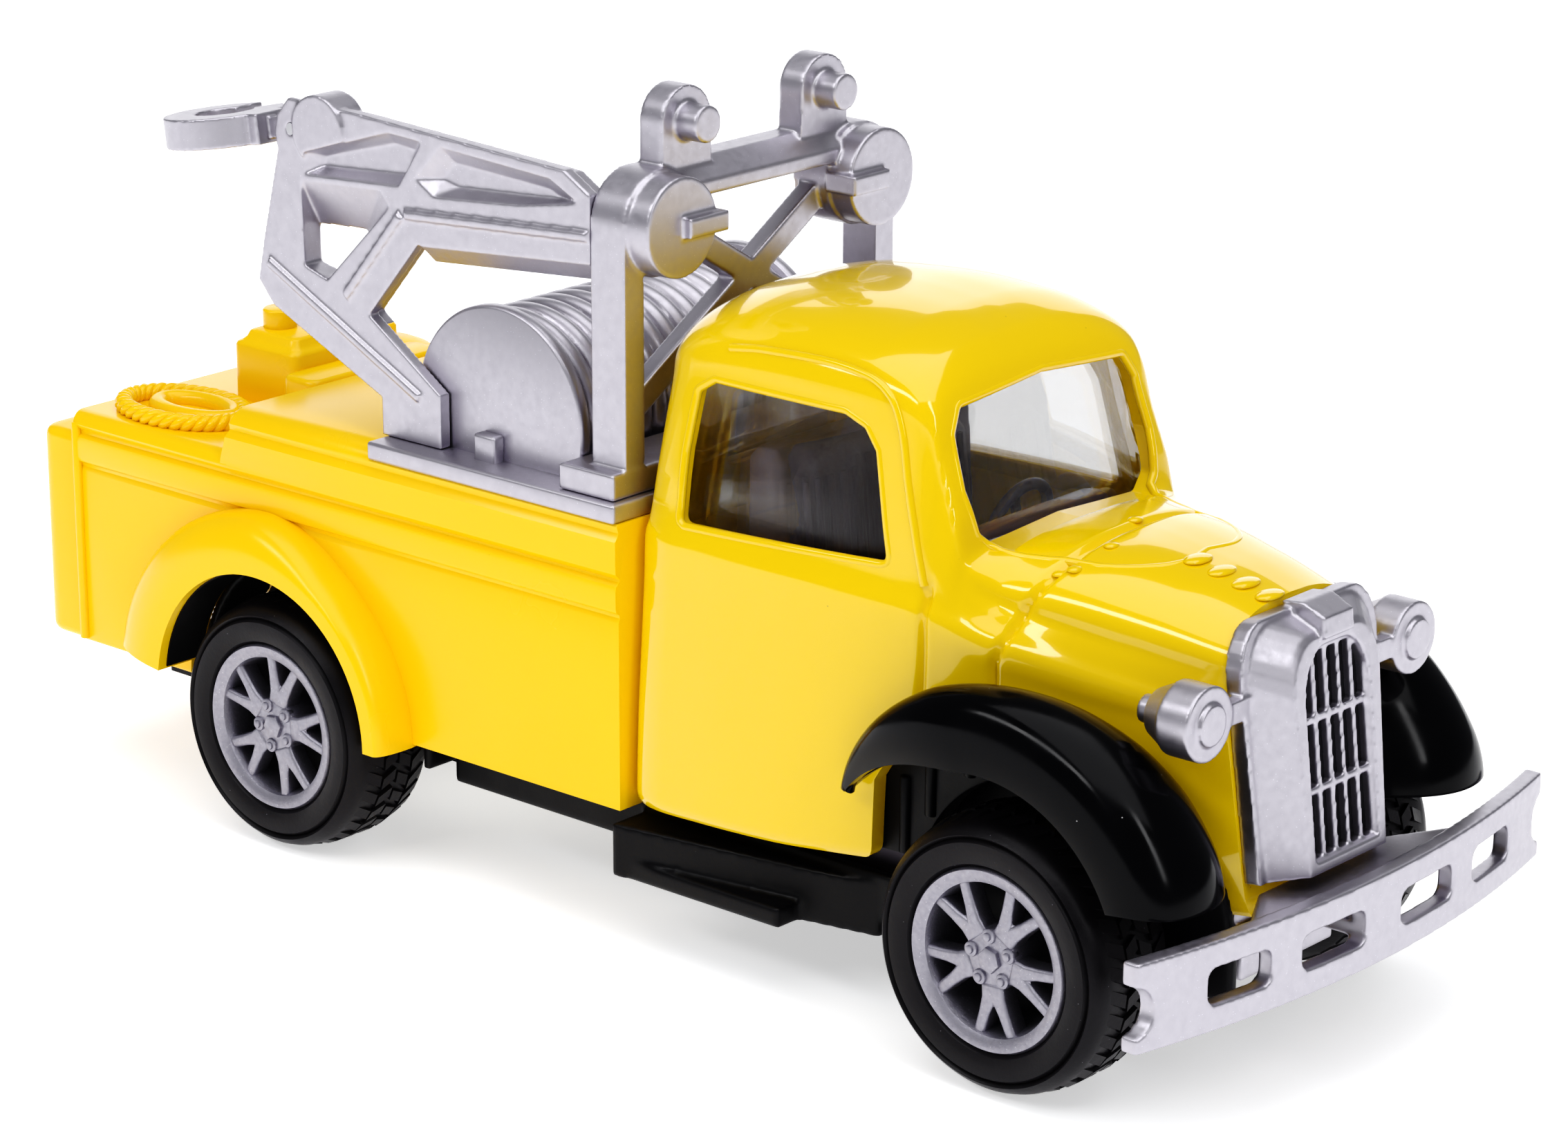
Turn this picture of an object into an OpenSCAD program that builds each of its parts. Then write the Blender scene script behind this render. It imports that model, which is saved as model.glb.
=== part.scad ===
// Toy tow truck, about 1:36 scale: die-cast cab, moulded pick-up bed, plastic chassis,
// recovery crane with winch drum, and a pull-back motor on the rear axle.
// X points forward, Y to the left of the truck, Z up. The tyres stand on Z = 0.

/* [Wheels and axles] */
// Diameter of a tyre
tyre_d = 22; // [21:0.5:23]
// Width of a tyre
tyre_w = 9.6; // [8.6:0.2:9.8]
// Diameter of the rim seat inside the tyre
rim_d = 14.6; // [13:0.2:15.4]
// Distance between the outer faces of the wheels
track_outer = 44; // [43.4:0.2:45]
// Distance between the front and rear axle
wheelbase = 77.7; // [76:0.1:79]
// Place of the rear axle
rear_axle_x = -32.4; // [-33:0.1:-32]
// Diameter of the steel axles
axle_d = 2; // [1.6:0.1:2.4]
// Radial running clearance of an axle in its bearings
axle_play = 0.06; // [0.03:0.01:0.1]
// Number of twin spokes on a rim
spoke_n = 5; // [4:1:7]

/* [Chassis] */
// Underside of the base plate
chassis_z = 7.8; // [7.4:0.1:8]
// Thickness of the base plate
plate_t = 1.4; // [1.2:0.1:1.6]
// Gap between the base plate and the wheels beside it
wheel_gap = 1.2; // [1:0.1:1.6]
// Half width of the base plate between the wheels
wide_w = 14.5; // [14:0.1:15]
// Length of a running board
board_l = 17.5; // [14:0.5:18]
// Half width over the running boards
board_w = 18.4; // [17.6:0.1:19]
// Gap between a tyre and its wheel arch liner
arch_gap = 2.3; // [1.8:0.1:2.6]

/* [Screws] */
// Diameter of the screw shanks
screw_d = 1.7; // [1.4:0.1:2]
// Diameter of the screw heads
screw_head_d = 3.6; // [3:0.1:4]
// Diameter of the screw posts
post_d = 4.8; // [4.2:0.1:5.4]

/* [Cab] */
// Wall of the casting
cab_wall = 1.2; // [1:0.1:1.5]
// Thickness of the clear window insert
glass_t = 0.9; // [0.7:0.1:1]
// Gap between the casting and what lies against it
seat_gap = 0.12; // [0.08:0.01:0.2]

/* [Bed] */
// Rear end of the deck
bed_rear_x = -60.4; // [-61:0.1:-60]
// Front end of the bed
bed_front_x = 4.9; // [4.6:0.1:5]
// Half width of the bed
bed_w = 18.5; // [18.3:0.1:18.8]
// Height of the low rear deck
low_deck_z = 33; // [32.5:0.1:33.5]
// Height of the raised deck
high_deck_z = 37; // [36.6:0.1:37.4]
// Wall of the moulding
bed_wall = 1.4; // [1.2:0.1:1.6]
// Half width over the rear fenders
fender_w = 22; // [21.6:0.1:22.2]

/* [Crane] */
// Length of the crane's base plate
crane_l = 27.8; // [27:0.1:28]
// Half width of the crane's base plate
crane_w = 18.6; // [18.2:0.1:19]
// Thickness of the crane's base plate
crane_t = 1.6; // [1.4:0.1:1.7]
// Radius of the drum flanges
flange_r = 9.3; // [8.8:0.1:9.4]
// Thickness of a drum flange
flange_t = 1.2; // [1:0.1:1.4]
// Distance between the outer faces of the flanges
drum_l = 30.4; // [29.6:0.1:30.6]
// Number of moulded cable turns
turn_n = 15; // [12:1:17]
// Half width over the mast posts
mast_w = 16.4; // [16:0.1:16.6]
// Height of the crossbar's disc centres
mast_z = 58.9; // [58:0.1:59.5]
// Size of a mast post across and along the truck
post_section = [3.6, 2.3]; // [2:0.1:4]
// Outer face of the boom frame, from the middle of the truck
boom_y = 16.4; // [16.2:0.1:16.5]
// Thickness of the boom frame's web
boom_web = 1.1; // [1:0.1:1.1]
// Thickness of the boom's head and chords
boom_t = 2.4; // [2.2:0.1:2.6]
// Angle by which the tow hook droops
hook_droop = 8; // [4:1:12]

/* [Front] */
// Radius of a headlamp
lamp_r = 2.9; // [2.7:0.1:3.1]
// Distance between the headlamps
lamp_span = 26.6; // [26:0.2:28]
// Half width of the bumper
bumper_w = 26.5; // [26:0.1:27]
// Height of the bumper bar
bumper_h = 7; // [6.4:0.1:7.2]
// Thickness of the bumper bar
bumper_t = 1.5; // [1.3:0.1:1.8]

/* [Motor] */
// Gear module of the pull-back motor
gear_m = 0.6; // [0.5:0.05:0.6]
// Teeth of the axle gear
axle_teeth = 10; // [10:1:10]
// Teeth of the spring barrel
barrel_teeth = 30; // [30:1:30]
// Half width of the motor case
motor_w = 6.5; // [6:0.1:7]
// Wall of the motor case
motor_wall = 0.8; // [0.6:0.1:1]

/* [Hidden] */
$fn = 48;

axle_z = tyre_d / 2;
front_axle_x = rear_axle_x + wheelbase;
wheel_y = track_outer / 2;
wheel_in_y = wheel_y - tyre_w;
narrow_w = wheel_in_y - wheel_gap;
plate_top = chassis_z + plate_t;
rim_r = rim_d / 2;
crane_top = high_deck_z + 0.4;
crane_z0 = crane_top - crane_t;
crane_x1 = bed_front_x - 0.1;
crane_x0 = crane_x1 - crane_l;
gear_r = gear_m * axle_teeth / 2;
barrel_r = gear_m * barrel_teeth / 2;
gear_play = 0.1;
gear_gap = gear_r + barrel_r + gear_play;
gear_angle = 46;
barrel_x = rear_axle_x + gear_gap * cos(gear_angle);
barrel_z = axle_z + gear_gap * sin(gear_angle);
// Front plane of the casting at the height front_z, measured from the front axle
front_reach = 11.3;
cab_front_x = front_axle_x + front_reach;
cowl_x = front_axle_x - 6.5;
// Screw places under the cab and under the bed
cab_posts = [[cowl_x - 1.3, 0], [9.2, 10.6], [9.2, -10.6]];
bed_posts = [[-53, 0], [-3.5, 0]];

// ---------- helpers ----------

// Linear interpolation of a row of numbers
function mix(a, b, t) = [for (i = [0 : len(a) - 1]) a[i] + (b[i] - a[i]) * t];
function step_at(keys, x, i = 0) =
    i >= len(keys) - 2 || x <= keys[i + 1][0] ? i : step_at(keys, x, i + 1);
function at_x(keys, x) =
    let (i = step_at(keys, x), a = keys[i], b = keys[i + 1]) mix(a, b, (x - a[0]) / (b[0] - a[0]));

// Closed skin through rings of points, each ring with the same number of points
module skin(rings) {
    n = len(rings[0]);
    m = len(rings);
    points = [for (r = rings) for (p = r) p];
    sides = [for (i = [0 : m - 2]) for (j = [0 : n - 1])
        let (k = (j + 1) % n, a = i * n + j, b = i * n + k, c = a + n, d = b + n)
        each [[a, b, d], [a, d, c]]];
    cap0 = [for (j = [n - 1 : -1 : 0]) j];
    cap1 = [for (j = [0 : n - 1]) (m - 1) * n + j];
    polyhedron(points, concat([cap0], sides, [cap1]), convexity = 8);
}

// Box from low corner to high corner
module block(lo, hi) {
    translate(lo) cube(hi - lo);
}

// Both sides of the truck
module both_sides() {
    children();
    mirror([0, 1, 0]) children();
}

// A flat outline in X and Z, pushed from y0 to y1
module side_plate(y0, y1) {
    translate([0, y1, 0]) rotate([90, 0, 0]) linear_extrude(y1 - y0) children();
}

// A flat outline in Y and Z, pushed from x0 to x1
module front_plate(x0, x1) {
    translate([x0, 0, 0]) rotate([90, 0, 90]) linear_extrude(x1 - x0) children();
}

// Straight bar of width w between two points of a flat outline
module bar(a, b, w) {
    d = b - a;
    translate(a) rotate(atan2(d.y, d.x)) translate([0, -w / 2]) square([norm(d), w]);
}

// Rounded rectangle from lo to hi
module round_rect(lo, hi, r) {
    translate(lo + [r, 0]) square([hi.x - lo.x - 2 * r, hi.y - lo.y]);
    translate(lo + [0, r]) square([hi.x - lo.x, hi.y - lo.y - 2 * r]);
    for (x = [lo.x + r, hi.x - r], y = [lo.y + r, hi.y - r])
        translate([x, y]) circle(r, $fn = 24);
}

// Cylinder along Y from y0 to y1
module rod_y(r, y0, y1) {
    translate([0, y1, 0]) rotate([90, 0, 0]) cylinder(r = r, h = y1 - y0);
}

// ---------- cab ----------

// Sections of the casting:
// x, floor z, floor half width, belt half width, belt z, roof half width, roof side z, top z, squareness
cab_keys = [
    [5.3, 12.6, 16.4, 14.8, 35.6, 11.4, 47.2, 50.8, 0.8],
    [6.0, 12.6, 17.3, 15.8, 35.6, 12.7, 47.7, 52.1, 0.8],
    [7.5, 12.6, 18.0, 16.3, 35.6, 13.5, 48.3, 53.1, 0.8],
    [9.3, 12.6, 18.2, 16.5, 35.6, 13.8, 48.7, 53.7, 0.8],
    [13, 12.7, 18.2, 16.5, 35.6, 14.0, 48.9, 54.4, 0.8],
    [20, 12.9, 17.9, 16.3, 35.5, 14.1, 49.0, 54.8, 0.8],
    [26, 13.3, 17.2, 15.9, 35.3, 14.0, 49.0, 54.4, 0.8],
    [30, 13.6, 16.6, 15.5, 35.1, 13.7, 48.7, 53.1, 0.75],
    [31.4, 13.7, 16.4, 15.3, 35.0, 13.5, 48.2, 52.0, 0.7],
    [32.3, 13.8, 16.2, 15.2, 34.9, 13.2, 47.3, 50.8, 0.65],
    [33.5, 13.9, 15.9, 15.0, 34.6, 13.2, 43.8, 46.9, 0.6],
    [35.0, 14.0, 15.5, 14.7, 34.2, 13.4, 39.8, 42.5, 0.6],
    [36.2, 14.0, 15.2, 14.5, 33.8, 13.2, 36.8, 39.0, 0.65],
    [cowl_x, 14.0, 14.4, 13.9, 33.0, 12.2, 35.2, 39.5, 0.8],
    [front_axle_x - 1.3, 14.0, 12.8, 12.6, 32.0, 11.4, 34.4, 39.4, 0.8],
    [front_axle_x + 5.7, 14.0, 10.6, 10.7, 31.0, 9.9, 33.4, 38.4, 0.8],
    [cab_front_x, 14.0, 8.0, 8.9, 30.0, 8.5, 32.6, 37.0, 0.8]];

// The front of the casting leans: its foot is ahead of its top by this slope
front_lean = 7;
front_z = 35;
lean_x = front_axle_x - 0.3;
function lean(x, z) =
    x < lean_x ? 0 : (front_z - z) * tan(front_lean) * (x - lean_x) / (cab_front_x - lean_x);

function inset_x(x, d) = x + (x < 13 ? d * (13 - x) / 7.7 : x > 25 ? -d * min(1, (x - 25) / 6) : 0);
function inset_key(k, d) = [inset_x(k[0], d), k[1] - (d > 0 ? 3 + d : 0),
    k[2] - d, k[3] - d, k[4], k[5] - d, k[6] - d / 2, k[7] - d, k[8]];

function cab_half(k) =
    let (bulge = 0.25)
    concat(
        [[k[2] - 0.5, k[1]], [k[2], k[1] + 0.8]],
        [for (t = [0.3, 0.6, 0.85]) [k[2] + (k[3] - k[2]) * t + bulge, k[1] + (k[4] - k[1]) * t]],
        [[k[3] + bulge / 2, k[4]]],
        [for (t = [0.35, 0.7, 1]) [k[3] + (k[5] - k[3]) * t, k[4] + (k[6] - k[4]) * t]],
        [for (a = [18 : 18 : 90])
            [k[5] * pow(cos(a), k[8]), k[6] + (k[7] - k[6]) * pow(sin(a), k[8] + 0.1)]]);

function cab_ring(k) =
    let (half = cab_half(k), n = len(half))
    concat([for (p = half) [k[0] + lean(k[0], p.y), -p.x, p.y]],
        [for (i = [n - 2 : -1 : 0]) [k[0] + lean(k[0], half[i].y), half[i].x, half[i].y]]);

module cab_solid(d) {
    skin([for (k = cab_keys) cab_ring(inset_key(k, d))]);
}

window_side = [[9.4, 36.3], [30.2, 37], [29.1, 42], [28.3, 45.6], [27, 47.3], [24.8, 48.1],
    [11.4, 48.1], [9.6, 47], [9.2, 42]];
window_front = [[-9.6, 38.3], [0, 38.8], [9.6, 38.3], [11.2, 39.6], [11.8, 43], [11.5, 47.2],
    [10.3, 49.2], [0, 50], [-10.3, 49.2], [-11.5, 47.2], [-11.8, 43], [-11.2, 39.6]];
window_rear = [[-7, 38.5], [7, 38.5], [6.4, 44.6], [-6.4, 44.6]];

module cab_windows() {
    both_sides() side_plate(9, 20) offset(0.8, $fn = 16) offset(-0.8) polygon(window_side);
    front_plate(27, 37.6) polygon(window_front);
    front_plate(4, 9) polygon(window_rear);
}

// Space kept free for each front wheel under the hood and the cowl
arch_r = axle_z + arch_gap + 1;
module front_wheel_space() {
    both_sides() translate([front_axle_x, 0, axle_z])
        rod_y(arch_r, liner_y - 0.1, 24);
}

module post(p, z1, d = post_d) {
    translate([p.x, p.y, plate_top + 0.05]) cylinder(d = d, h = z1 - plate_top - 0.05);
}

module pilot(p) {
    translate([p.x, p.y, plate_top - 1]) cylinder(d = screw_d + 0.1, h = 10);
}

module cab_body() {
    color("gold") difference() {
        union() {
            difference() {
                cab_solid(0);
                cab_solid(cab_wall);
                cab_windows();
                front_wheel_space();
            }
            intersection() {
                union() {
                    post(cab_posts[0], 41);
                    block([cowl_x - 1.2, -9, 30], [cowl_x - 0.2, 9, 41]);
                    for (i = [1, 2]) {
                        post(cab_posts[i], 34);
                        block([5.6, cab_posts[i].y - 1, 13], [9.2, cab_posts[i].y + 1, 34]);
                    }
                }
                union() {
                    cab_solid(cab_wall / 2);
                    block([5.4, -15, 6], [41, 15, 20]);
                }
            }
        }
        for (p = cab_posts) pilot(p);
    }
}

glass_z0 = 35.2;
module cab_glazing() {
    d = cab_wall + seat_gap;
    color([0.8, 0.9, 0.95, 0.4]) intersection() {
        difference() {
            cab_solid(d);
            cab_solid(d + glass_t);
        }
        union() {
            block([6.4, -16, glass_z0], [33, 16, 50.8]);
            block([6.4, -16, glass_z0 + 2.7], [35.2, 16, 50.8]);
        }
    }
}

// ---------- interior ----------

tub_x0 = 12;
tub_x1 = 31;
tub_w = 12.4;
dash_z0 = 29.2;
seat_z = 28;
seat_top = 42.6;

module interior_tub() {
    color("dimgray") {
        difference() {
            block([tub_x0, -tub_w, plate_top], [tub_x1, tub_w, 21.4]);
            block([tub_x0 + 1.2, -tub_w + 1.2, plate_top - 1], [tub_x1 - 1.2, tub_w - 1.2, 20.2]);
        }
        block([tub_x0, -tub_w, 21.4], [22.5, tub_w, seat_z - 1.2]);
        block([tub_x1 - 1.2, -tub_w + 1, 21], [tub_x1, tub_w - 1, dash_z0]);
        block([tub_x1 - 1.2, -tub_w + 1, dash_z0 - 1], [33.6, tub_w - 1, dash_z0]);
        side_plate(-tub_w, tub_w)
            round_rect([tub_x0, seat_z - 3], [23, seat_z], 1.2);
        difference() {
            side_plate(-11.6, 11.6)
                polygon([[12.4, seat_z - 1], [17.4, seat_z - 1], [16.4, seat_top - 1], [15.6, seat_top],
                    [13.8, seat_top], [12.8, seat_top - 1]]);
            for (i = [-5 : 5])
                block([16.3 - 0.2, i * 1.9 - 0.15, seat_z + 1], [18, i * 1.9 + 0.15, seat_top - 1.5]);
        }
    }
}

dash_x1 = 33.9;
module dashboard() {
    color("dimgray") difference() {
        side_plate(-12, 12)
            polygon([[30.4, dash_z0], [dash_x1, dash_z0], [dash_x1, 35], [33.2, 35.7],
                [31, 35.6], [29.9, 34.6], [29.9, 33.4], [30.8, 32.4]]);
        translate(wheel_c) rotate([0, column_tilt, 0])
            cylinder(r = column_r + 0.05, h = 9);
    }
}

wheel_c = [25.6, 6.4, 34.6];
column_tilt = 106;
column_r = 0.6;
module steering_wheel() {
    color("dimgray") translate(wheel_c) rotate([0, column_tilt, 0]) {
        rotate_extrude() translate([3.5, 0]) circle(0.5, $fn = 16);
        for (a = [90, 210, 330])
            rotate(a) block([0.5, -0.4, -0.3], [3.4, 0.4, 0.3]);
        translate([0, 0, -0.4]) cylinder(r = 1, h = 0.9);
        cylinder(r = column_r, h = 7.4);
    }
}

// ---------- bed ----------

arch_x = rear_axle_x - 1.1;
arch_z = axle_z + 0.5;
arch_open_r = 12.7;

// Outline radius of the rear fender on the bed's side, by angle from straight ahead
bulge_keys = [[-20, 14.6], [10, 14.8], [48, 14.9], [65, 15.4], [80, 16.4], [94, 17.3],
    [108, 17.7], [125, 18.3], [140, 18.8], [160, 19.5], [200, 20.2]];
bulge_end = 173;
function bulge_r(a) = at_x(bulge_keys, a)[1];

module fender_bulge() {
    edge = bed_w - 0.2;
    r0 = arch_open_r - 0.7;
    skin([for (a = concat([bulge_end], [for (b = [168 : -6 : 0]) b]))
        let (r1 = bulge_r(a), c = cos(a), s = sin(a))
        [for (p = concat([[r0, bed_w - 1.5], [r0, fender_w]],
            [for (t = [0 : 15 : 90]) [arch_open_r + 1.2 + (r1 - arch_open_r - 1.2) * pow(sin(t), 1.1),
                edge + (fender_w - edge) * pow(cos(t), 0.7)]],
            [[r1 - 0.2, bed_w - 1.5]]))
            [arch_x + p[0] * c, -p[1], arch_z + p[0] * s]]]);
}

// Tail of the bed, with rounded upright corners
tail_x = -66.2;
tail_w = 17.4;
module tail_block() {
    r = 2;
    translate([0, 0, 11.3]) linear_extrude(19.2) union() {
        translate([tail_x + r, -tail_w]) square([bed_rear_x - tail_x - r + 0.5, 2 * tail_w]);
        translate([tail_x, -tail_w + r]) square([4, 2 * tail_w - 2 * r]);
        for (s = [-1, 1]) translate([tail_x + r, s * (tail_w - r)]) circle(r);
    }
}

// Cross-section of the bed with its rounded shoulder, up to height z
module bed_section(z, r) {
    step = 0.35;
    half = concat(
        [[bed_w - step, 11.8], [bed_w - step, 28], [bed_w, 28.3], [bed_w, 30.95], [bed_w - step, 31.2],
            [bed_w, 31.45], [bed_w, z - r]],
        [for (a = [15 : 15 : 90]) [bed_w - r * (1 - cos(a)), z - r + r * sin(a)]]);
    n = len(half);
    polygon(concat(half, [for (i = [n - 1 : -1 : 0]) [-half[i].x, half[i].y]]));
}

// Moulded coil of rope: the profile of its turns, carried round an oval
coil_r = [6.4, 3.8];
coil_profile = [[1.1, -0.5], [1.15, 0], [1.05, 0.5], [0.7, 0.9], [0.2, 1.1], [-0.3, 1.05], [-0.8, 0.8],
    [-1.1, 0.35], [-1.15, 0], [-1.1, -0.5]];

module rope_coil() {
    steps = 36;
    n = len(coil_profile);
    points = [for (i = [0 : steps - 1], p = coil_profile)
        let (a = 360 * i / steps, d = [coil_r.y * cos(a), coil_r.x * sin(a)], u = d / norm(d))
        [coil_r.x * cos(a) + u.x * p.x, coil_r.y * sin(a) + u.y * p.x, p.y]];
    faces = [for (i = [0 : steps - 1], j = [0 : n - 1])
        let (k = (i + 1) % steps, l = (j + 1) % n)
        each [[i * n + j, k * n + l, k * n + j], [i * n + j, i * n + l, k * n + l]]];
    translate([-51.6, -11.8, low_deck_z]) polyhedron(points, faces, convexity = 6);
}

module toolbox() {
    block([-53, -6, low_deck_z - 0.5], [-44.9, 6, low_deck_z + 5.3]);
    hull() {
        block([-53, -6, low_deck_z + 5.2], [-44.9, 6, low_deck_z + 5.3]);
        block([-51.9, -5, low_deck_z + 6.2], [-46, 5, low_deck_z + 6.3]);
    }
    translate([-50.4, -2.6, low_deck_z + 6]) cylinder(r = 1.5, h = 2);
}

module filler_cap() {
    translate([-52.6, 12.4, low_deck_z - 0.5]) {
        cylinder(r = 4.4, h = 1.9);
        translate([0, 0, 1.8]) cylinder(r = 3.6, h = 0.5);
        translate([0, 0, 2]) cylinder(r = 1, h = 1.4);
    }
}

// Place of the step between the decks, and half width between the side walls
step_x = -41;
inside_w = bed_w - bed_wall - 0.4;

module truck_bed() {
    color("yellow") difference() {
        union() {
            difference() {
                union() {
                    front_plate(bed_rear_x, step_x) bed_section(low_deck_z, 1.2);
                    front_plate(step_x, bed_front_x) bed_section(high_deck_z, 2);
                    block([step_x - 3.7, -8, low_deck_z - 1], [step_x, 8, high_deck_z]);
                    tail_block();
                }
                block([bed_rear_x + bed_wall, -inside_w, 5],
                    [step_x - bed_wall, inside_w, low_deck_z - bed_wall]);
                block([step_x - bed_wall - 1, -inside_w, 5], [bed_front_x - bed_wall, inside_w, 32]);
                block([step_x + 1, -bed_w + 3.4, 5],
                    [bed_front_x - bed_wall, bed_w - 3.4, crane_z0 - bed_wall]);
                block([tail_x + bed_wall, -tail_w + bed_wall, 5], [bed_rear_x - 1, tail_w - bed_wall, 29]);
                block([crane_x0 - 0.05, -bed_w - 1, crane_z0], [bed_front_x + 1, bed_w + 1, 50]);
            }
            both_sides() fender_bulge();
            rope_coil();
            toolbox();
            filler_cap();
            post(bed_posts[0], 32);
            post(bed_posts[1], crane_z0 - 0.5);
        }
        both_sides() translate([arch_x, 0, arch_z]) rod_y(arch_open_r, narrow_w, 30);
        for (p = bed_posts) pilot(p);
    }
}

// ---------- chassis ----------

liner_r = axle_z + arch_gap;
liner_t = 0.8;
liner_y = narrow_w - 1.8;

module liner(x) {
    both_sides() translate([x, 0, axle_z]) side_plate(liner_y, liner_y + liner_t) difference() {
        union() {
            circle(liner_r + liner_t);
            translate([-liner_r - liner_t, chassis_z - axle_z])
                square([2 * (liner_r + liner_t), axle_z - chassis_z]);
        }
        translate([-30, -30]) square([60, 30 + chassis_z - axle_z]);
    }
}

module rear_arch_liner() {
    translate([rear_axle_x, 0, axle_z]) side_plate(-bed_w + bed_wall + 0.5, -narrow_w) difference() {
        circle(liner_r + liner_t);
        circle(liner_r);
        translate([-30, -30]) square([60, 30 + plate_top - axle_z]);
    }
}

module bearing_block(x, y0, y1) {
    both_sides() block([x - 2.6, y0, plate_top - 1], [x + 2.6, y1, axle_z + 2.6]);
}

module running_board() {
    front = 4.4;
    block([front, -board_w, 6.2], [front + board_l, -wide_w + 1, 7.9]);
    linear_extrude(10.8) polygon([[front, -wide_w + 1], [front, -board_w - 0.3],
        [front + board_l, -wide_w - 1.4], [29, -wide_w], [29, -wide_w + 1]]);
}

chassis_x0 = -57;
chassis_x1 = cab_front_x - 0.6;
wide_x = [-17.6, 30.4];
rail_z = 11.6;

module chassis_plate() {
    difference() {
        union() {
            block([chassis_x0, -narrow_w, chassis_z], [chassis_x1, narrow_w, plate_top]);
            block([wide_x[0], -wide_w, chassis_z], [wide_x[1], wide_w, plate_top]);
            both_sides() block([wide_x[0], -wide_w, chassis_z], [wide_x[1], -wide_w + 1, rail_z]);
            block([chassis_x0, -narrow_w, chassis_z], [chassis_x0 + 1, narrow_w, rail_z]);
        }
        block([-38.4, -motor_w - 0.3, 0], [-12.4, motor_w + 0.3, 20]);
    }
}

module chassis() {
    color("black") difference() {
        union() {
            chassis_plate();
            difference() {
                both_sides() intersection() {
                    running_board();
                    block([0, -30, 6.2], [40, 0, 30]);
                }
                both_sides() block([0, -30, 7.9], [40, -wide_w - 50, 9.6]);
            }
            liner(front_axle_x);
            liner(rear_axle_x);
            both_sides() rear_arch_liner();
            bearing_block(front_axle_x, 6, liner_y + liner_t);
            bearing_block(rear_axle_x, motor_w + 1, narrow_w);
        }
        for (x = [front_axle_x, rear_axle_x])
            translate([x, 0, axle_z]) rod_y(axle_d / 2 + axle_play, -20, 20);
        for (p = concat(cab_posts, bed_posts)) translate([p.x, p.y, 0]) {
            cylinder(d = screw_d + 0.5, h = 20);
            cylinder(d = screw_head_d + 0.3, h = chassis_z + 0.7);
        }
    }
}

module chassis_screws() {
    color("silver") for (p = concat(cab_posts, bed_posts)) translate([p.x, p.y, chassis_z])
        difference() {
            union() {
                cylinder(d = screw_head_d, h = 0.7);
                cylinder(d = screw_d, h = 8);
            }
            block([-1.2, -0.2, -1], [1.2, 0.2, 0.45]);
            block([-0.2, -1.2, -1], [0.2, 1.2, 0.45]);
        }
}

// ---------- front fenders ----------

fender_c = [front_axle_x - 0.8, axle_z + 1.5];
fender_r = 18.9;
lip_r0 = 13;

function lip_r(a) = lip_r0 + (a > 100 ? 4.2 * pow((a - 100) / 56, 1.4) : 0);
function lip_y(a) = wheel_y - (a > 100 ? 3.4 * pow((a - 100) / 56, 2) : 0);
inner_keys = [[10, 10.5], [45, 10.6], [60, 11.2], [75, 12.3], [90, 13.7],
    [104, 14.9], [130, 16.7], [160, 17.6]];
function inner_y(a) = at_x(inner_keys, a)[1];
function crest_r(a) =
    fender_r - (a > 110 ? 1.1 * (a - 110) / 46 : 0) - (a < 30 ? 0.5 * pow((30 - a) / 13, 2) : 0);
// The front end is cut level, so the lip ends at a steeper angle than the crest
function ring_angle(a, r) =
    a + (a < 41 ? 7 * (41 - a) / 24 * (fender_r - r) / (fender_r - lip_r0) : 0);

function fender_side(r0, r1, y0, yc, y1) = concat(
    [for (t = [0 : 15 : 75]) [r0 + (r1 - r0) * pow(sin(t), 0.5), yc + (y1 - yc) * cos(t)]],
    [for (t = [90 : 15 : 180]) [r0 + (r1 - r0) * pow(sin(t), 1.2), yc + (yc - y0) * cos(t)]]);

function fender_ring(a, wall = 1) =
    let (y0 = inner_y(a), y1 = lip_y(a), yc = y0 + (y1 - y0) * 0.58, r0 = lip_r(a), r1 = crest_r(a),
        outside = fender_side(r0, r1, y0, yc, y1),
        inside = fender_side(r0 - 0.02, r1 - wall, y0 + wall, yc, y1 - wall))
    [for (p = concat(outside, [for (i = [len(inside) - 1 : -1 : 0]) inside[i]]))
        [fender_c.x + p[0] * cos(ring_angle(a, p[0])), -p[1], fender_c.y + p[0] * sin(ring_angle(a, p[0]))]];

module front_fender() {
    color("black") skin([for (a = concat([17, 20, 24], [for (b = [30 : 6 : 156]) b])) fender_ring(a)]);
}

module front_fender_right() { front_fender(); }
module front_fender_left() { mirror([0, 1, 0]) front_fender(); }

// ---------- grille and bumper ----------

grille_h = 19.4;
lamp_z = 30.6;

// Places children on the leaning front of the cab: X outwards, Z up along it, Z = 0 at the foot
module at_front() {
    translate([cab_front_x, 0, front_z]) rotate([0, -front_lean, 0]) translate([0, 0, -18.4]) children();
}

module grille_outline(w0, w1, h) {
    polygon(concat([[-w0, 0], [w0, 0]],
        [for (a = [0 : 15 : 90]) [w1 - 3 + 3 * cos(a), h - 4 + 4 * sin(a)]],
        [for (a = [90 : 15 : 180]) [-w1 + 3 + 3 * cos(a), h - 4 + 4 * sin(a)]]));
}

module headlamp() {
    translate([cab_front_x + 2.3, -lamp_span / 2, lamp_z]) rotate([0, 90, 0]) {
        translate([0, 0, -5.9]) cylinder(r = 1.1, h = 2);
        translate([0, 0, -4.7]) cylinder(r1 = 1.8, r2 = lamp_r - 0.1, h = 2);
        translate([0, 0, -2.8]) cylinder(r = lamp_r, h = 2.8);
        translate([0, 0, -0.1]) cylinder(r = 1.6, h = 0.5);
    }
}

slot_n = [5, 3];
slot_pitch = [1.62, 5.4];
slot_size = [1.2, 4.8];
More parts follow.
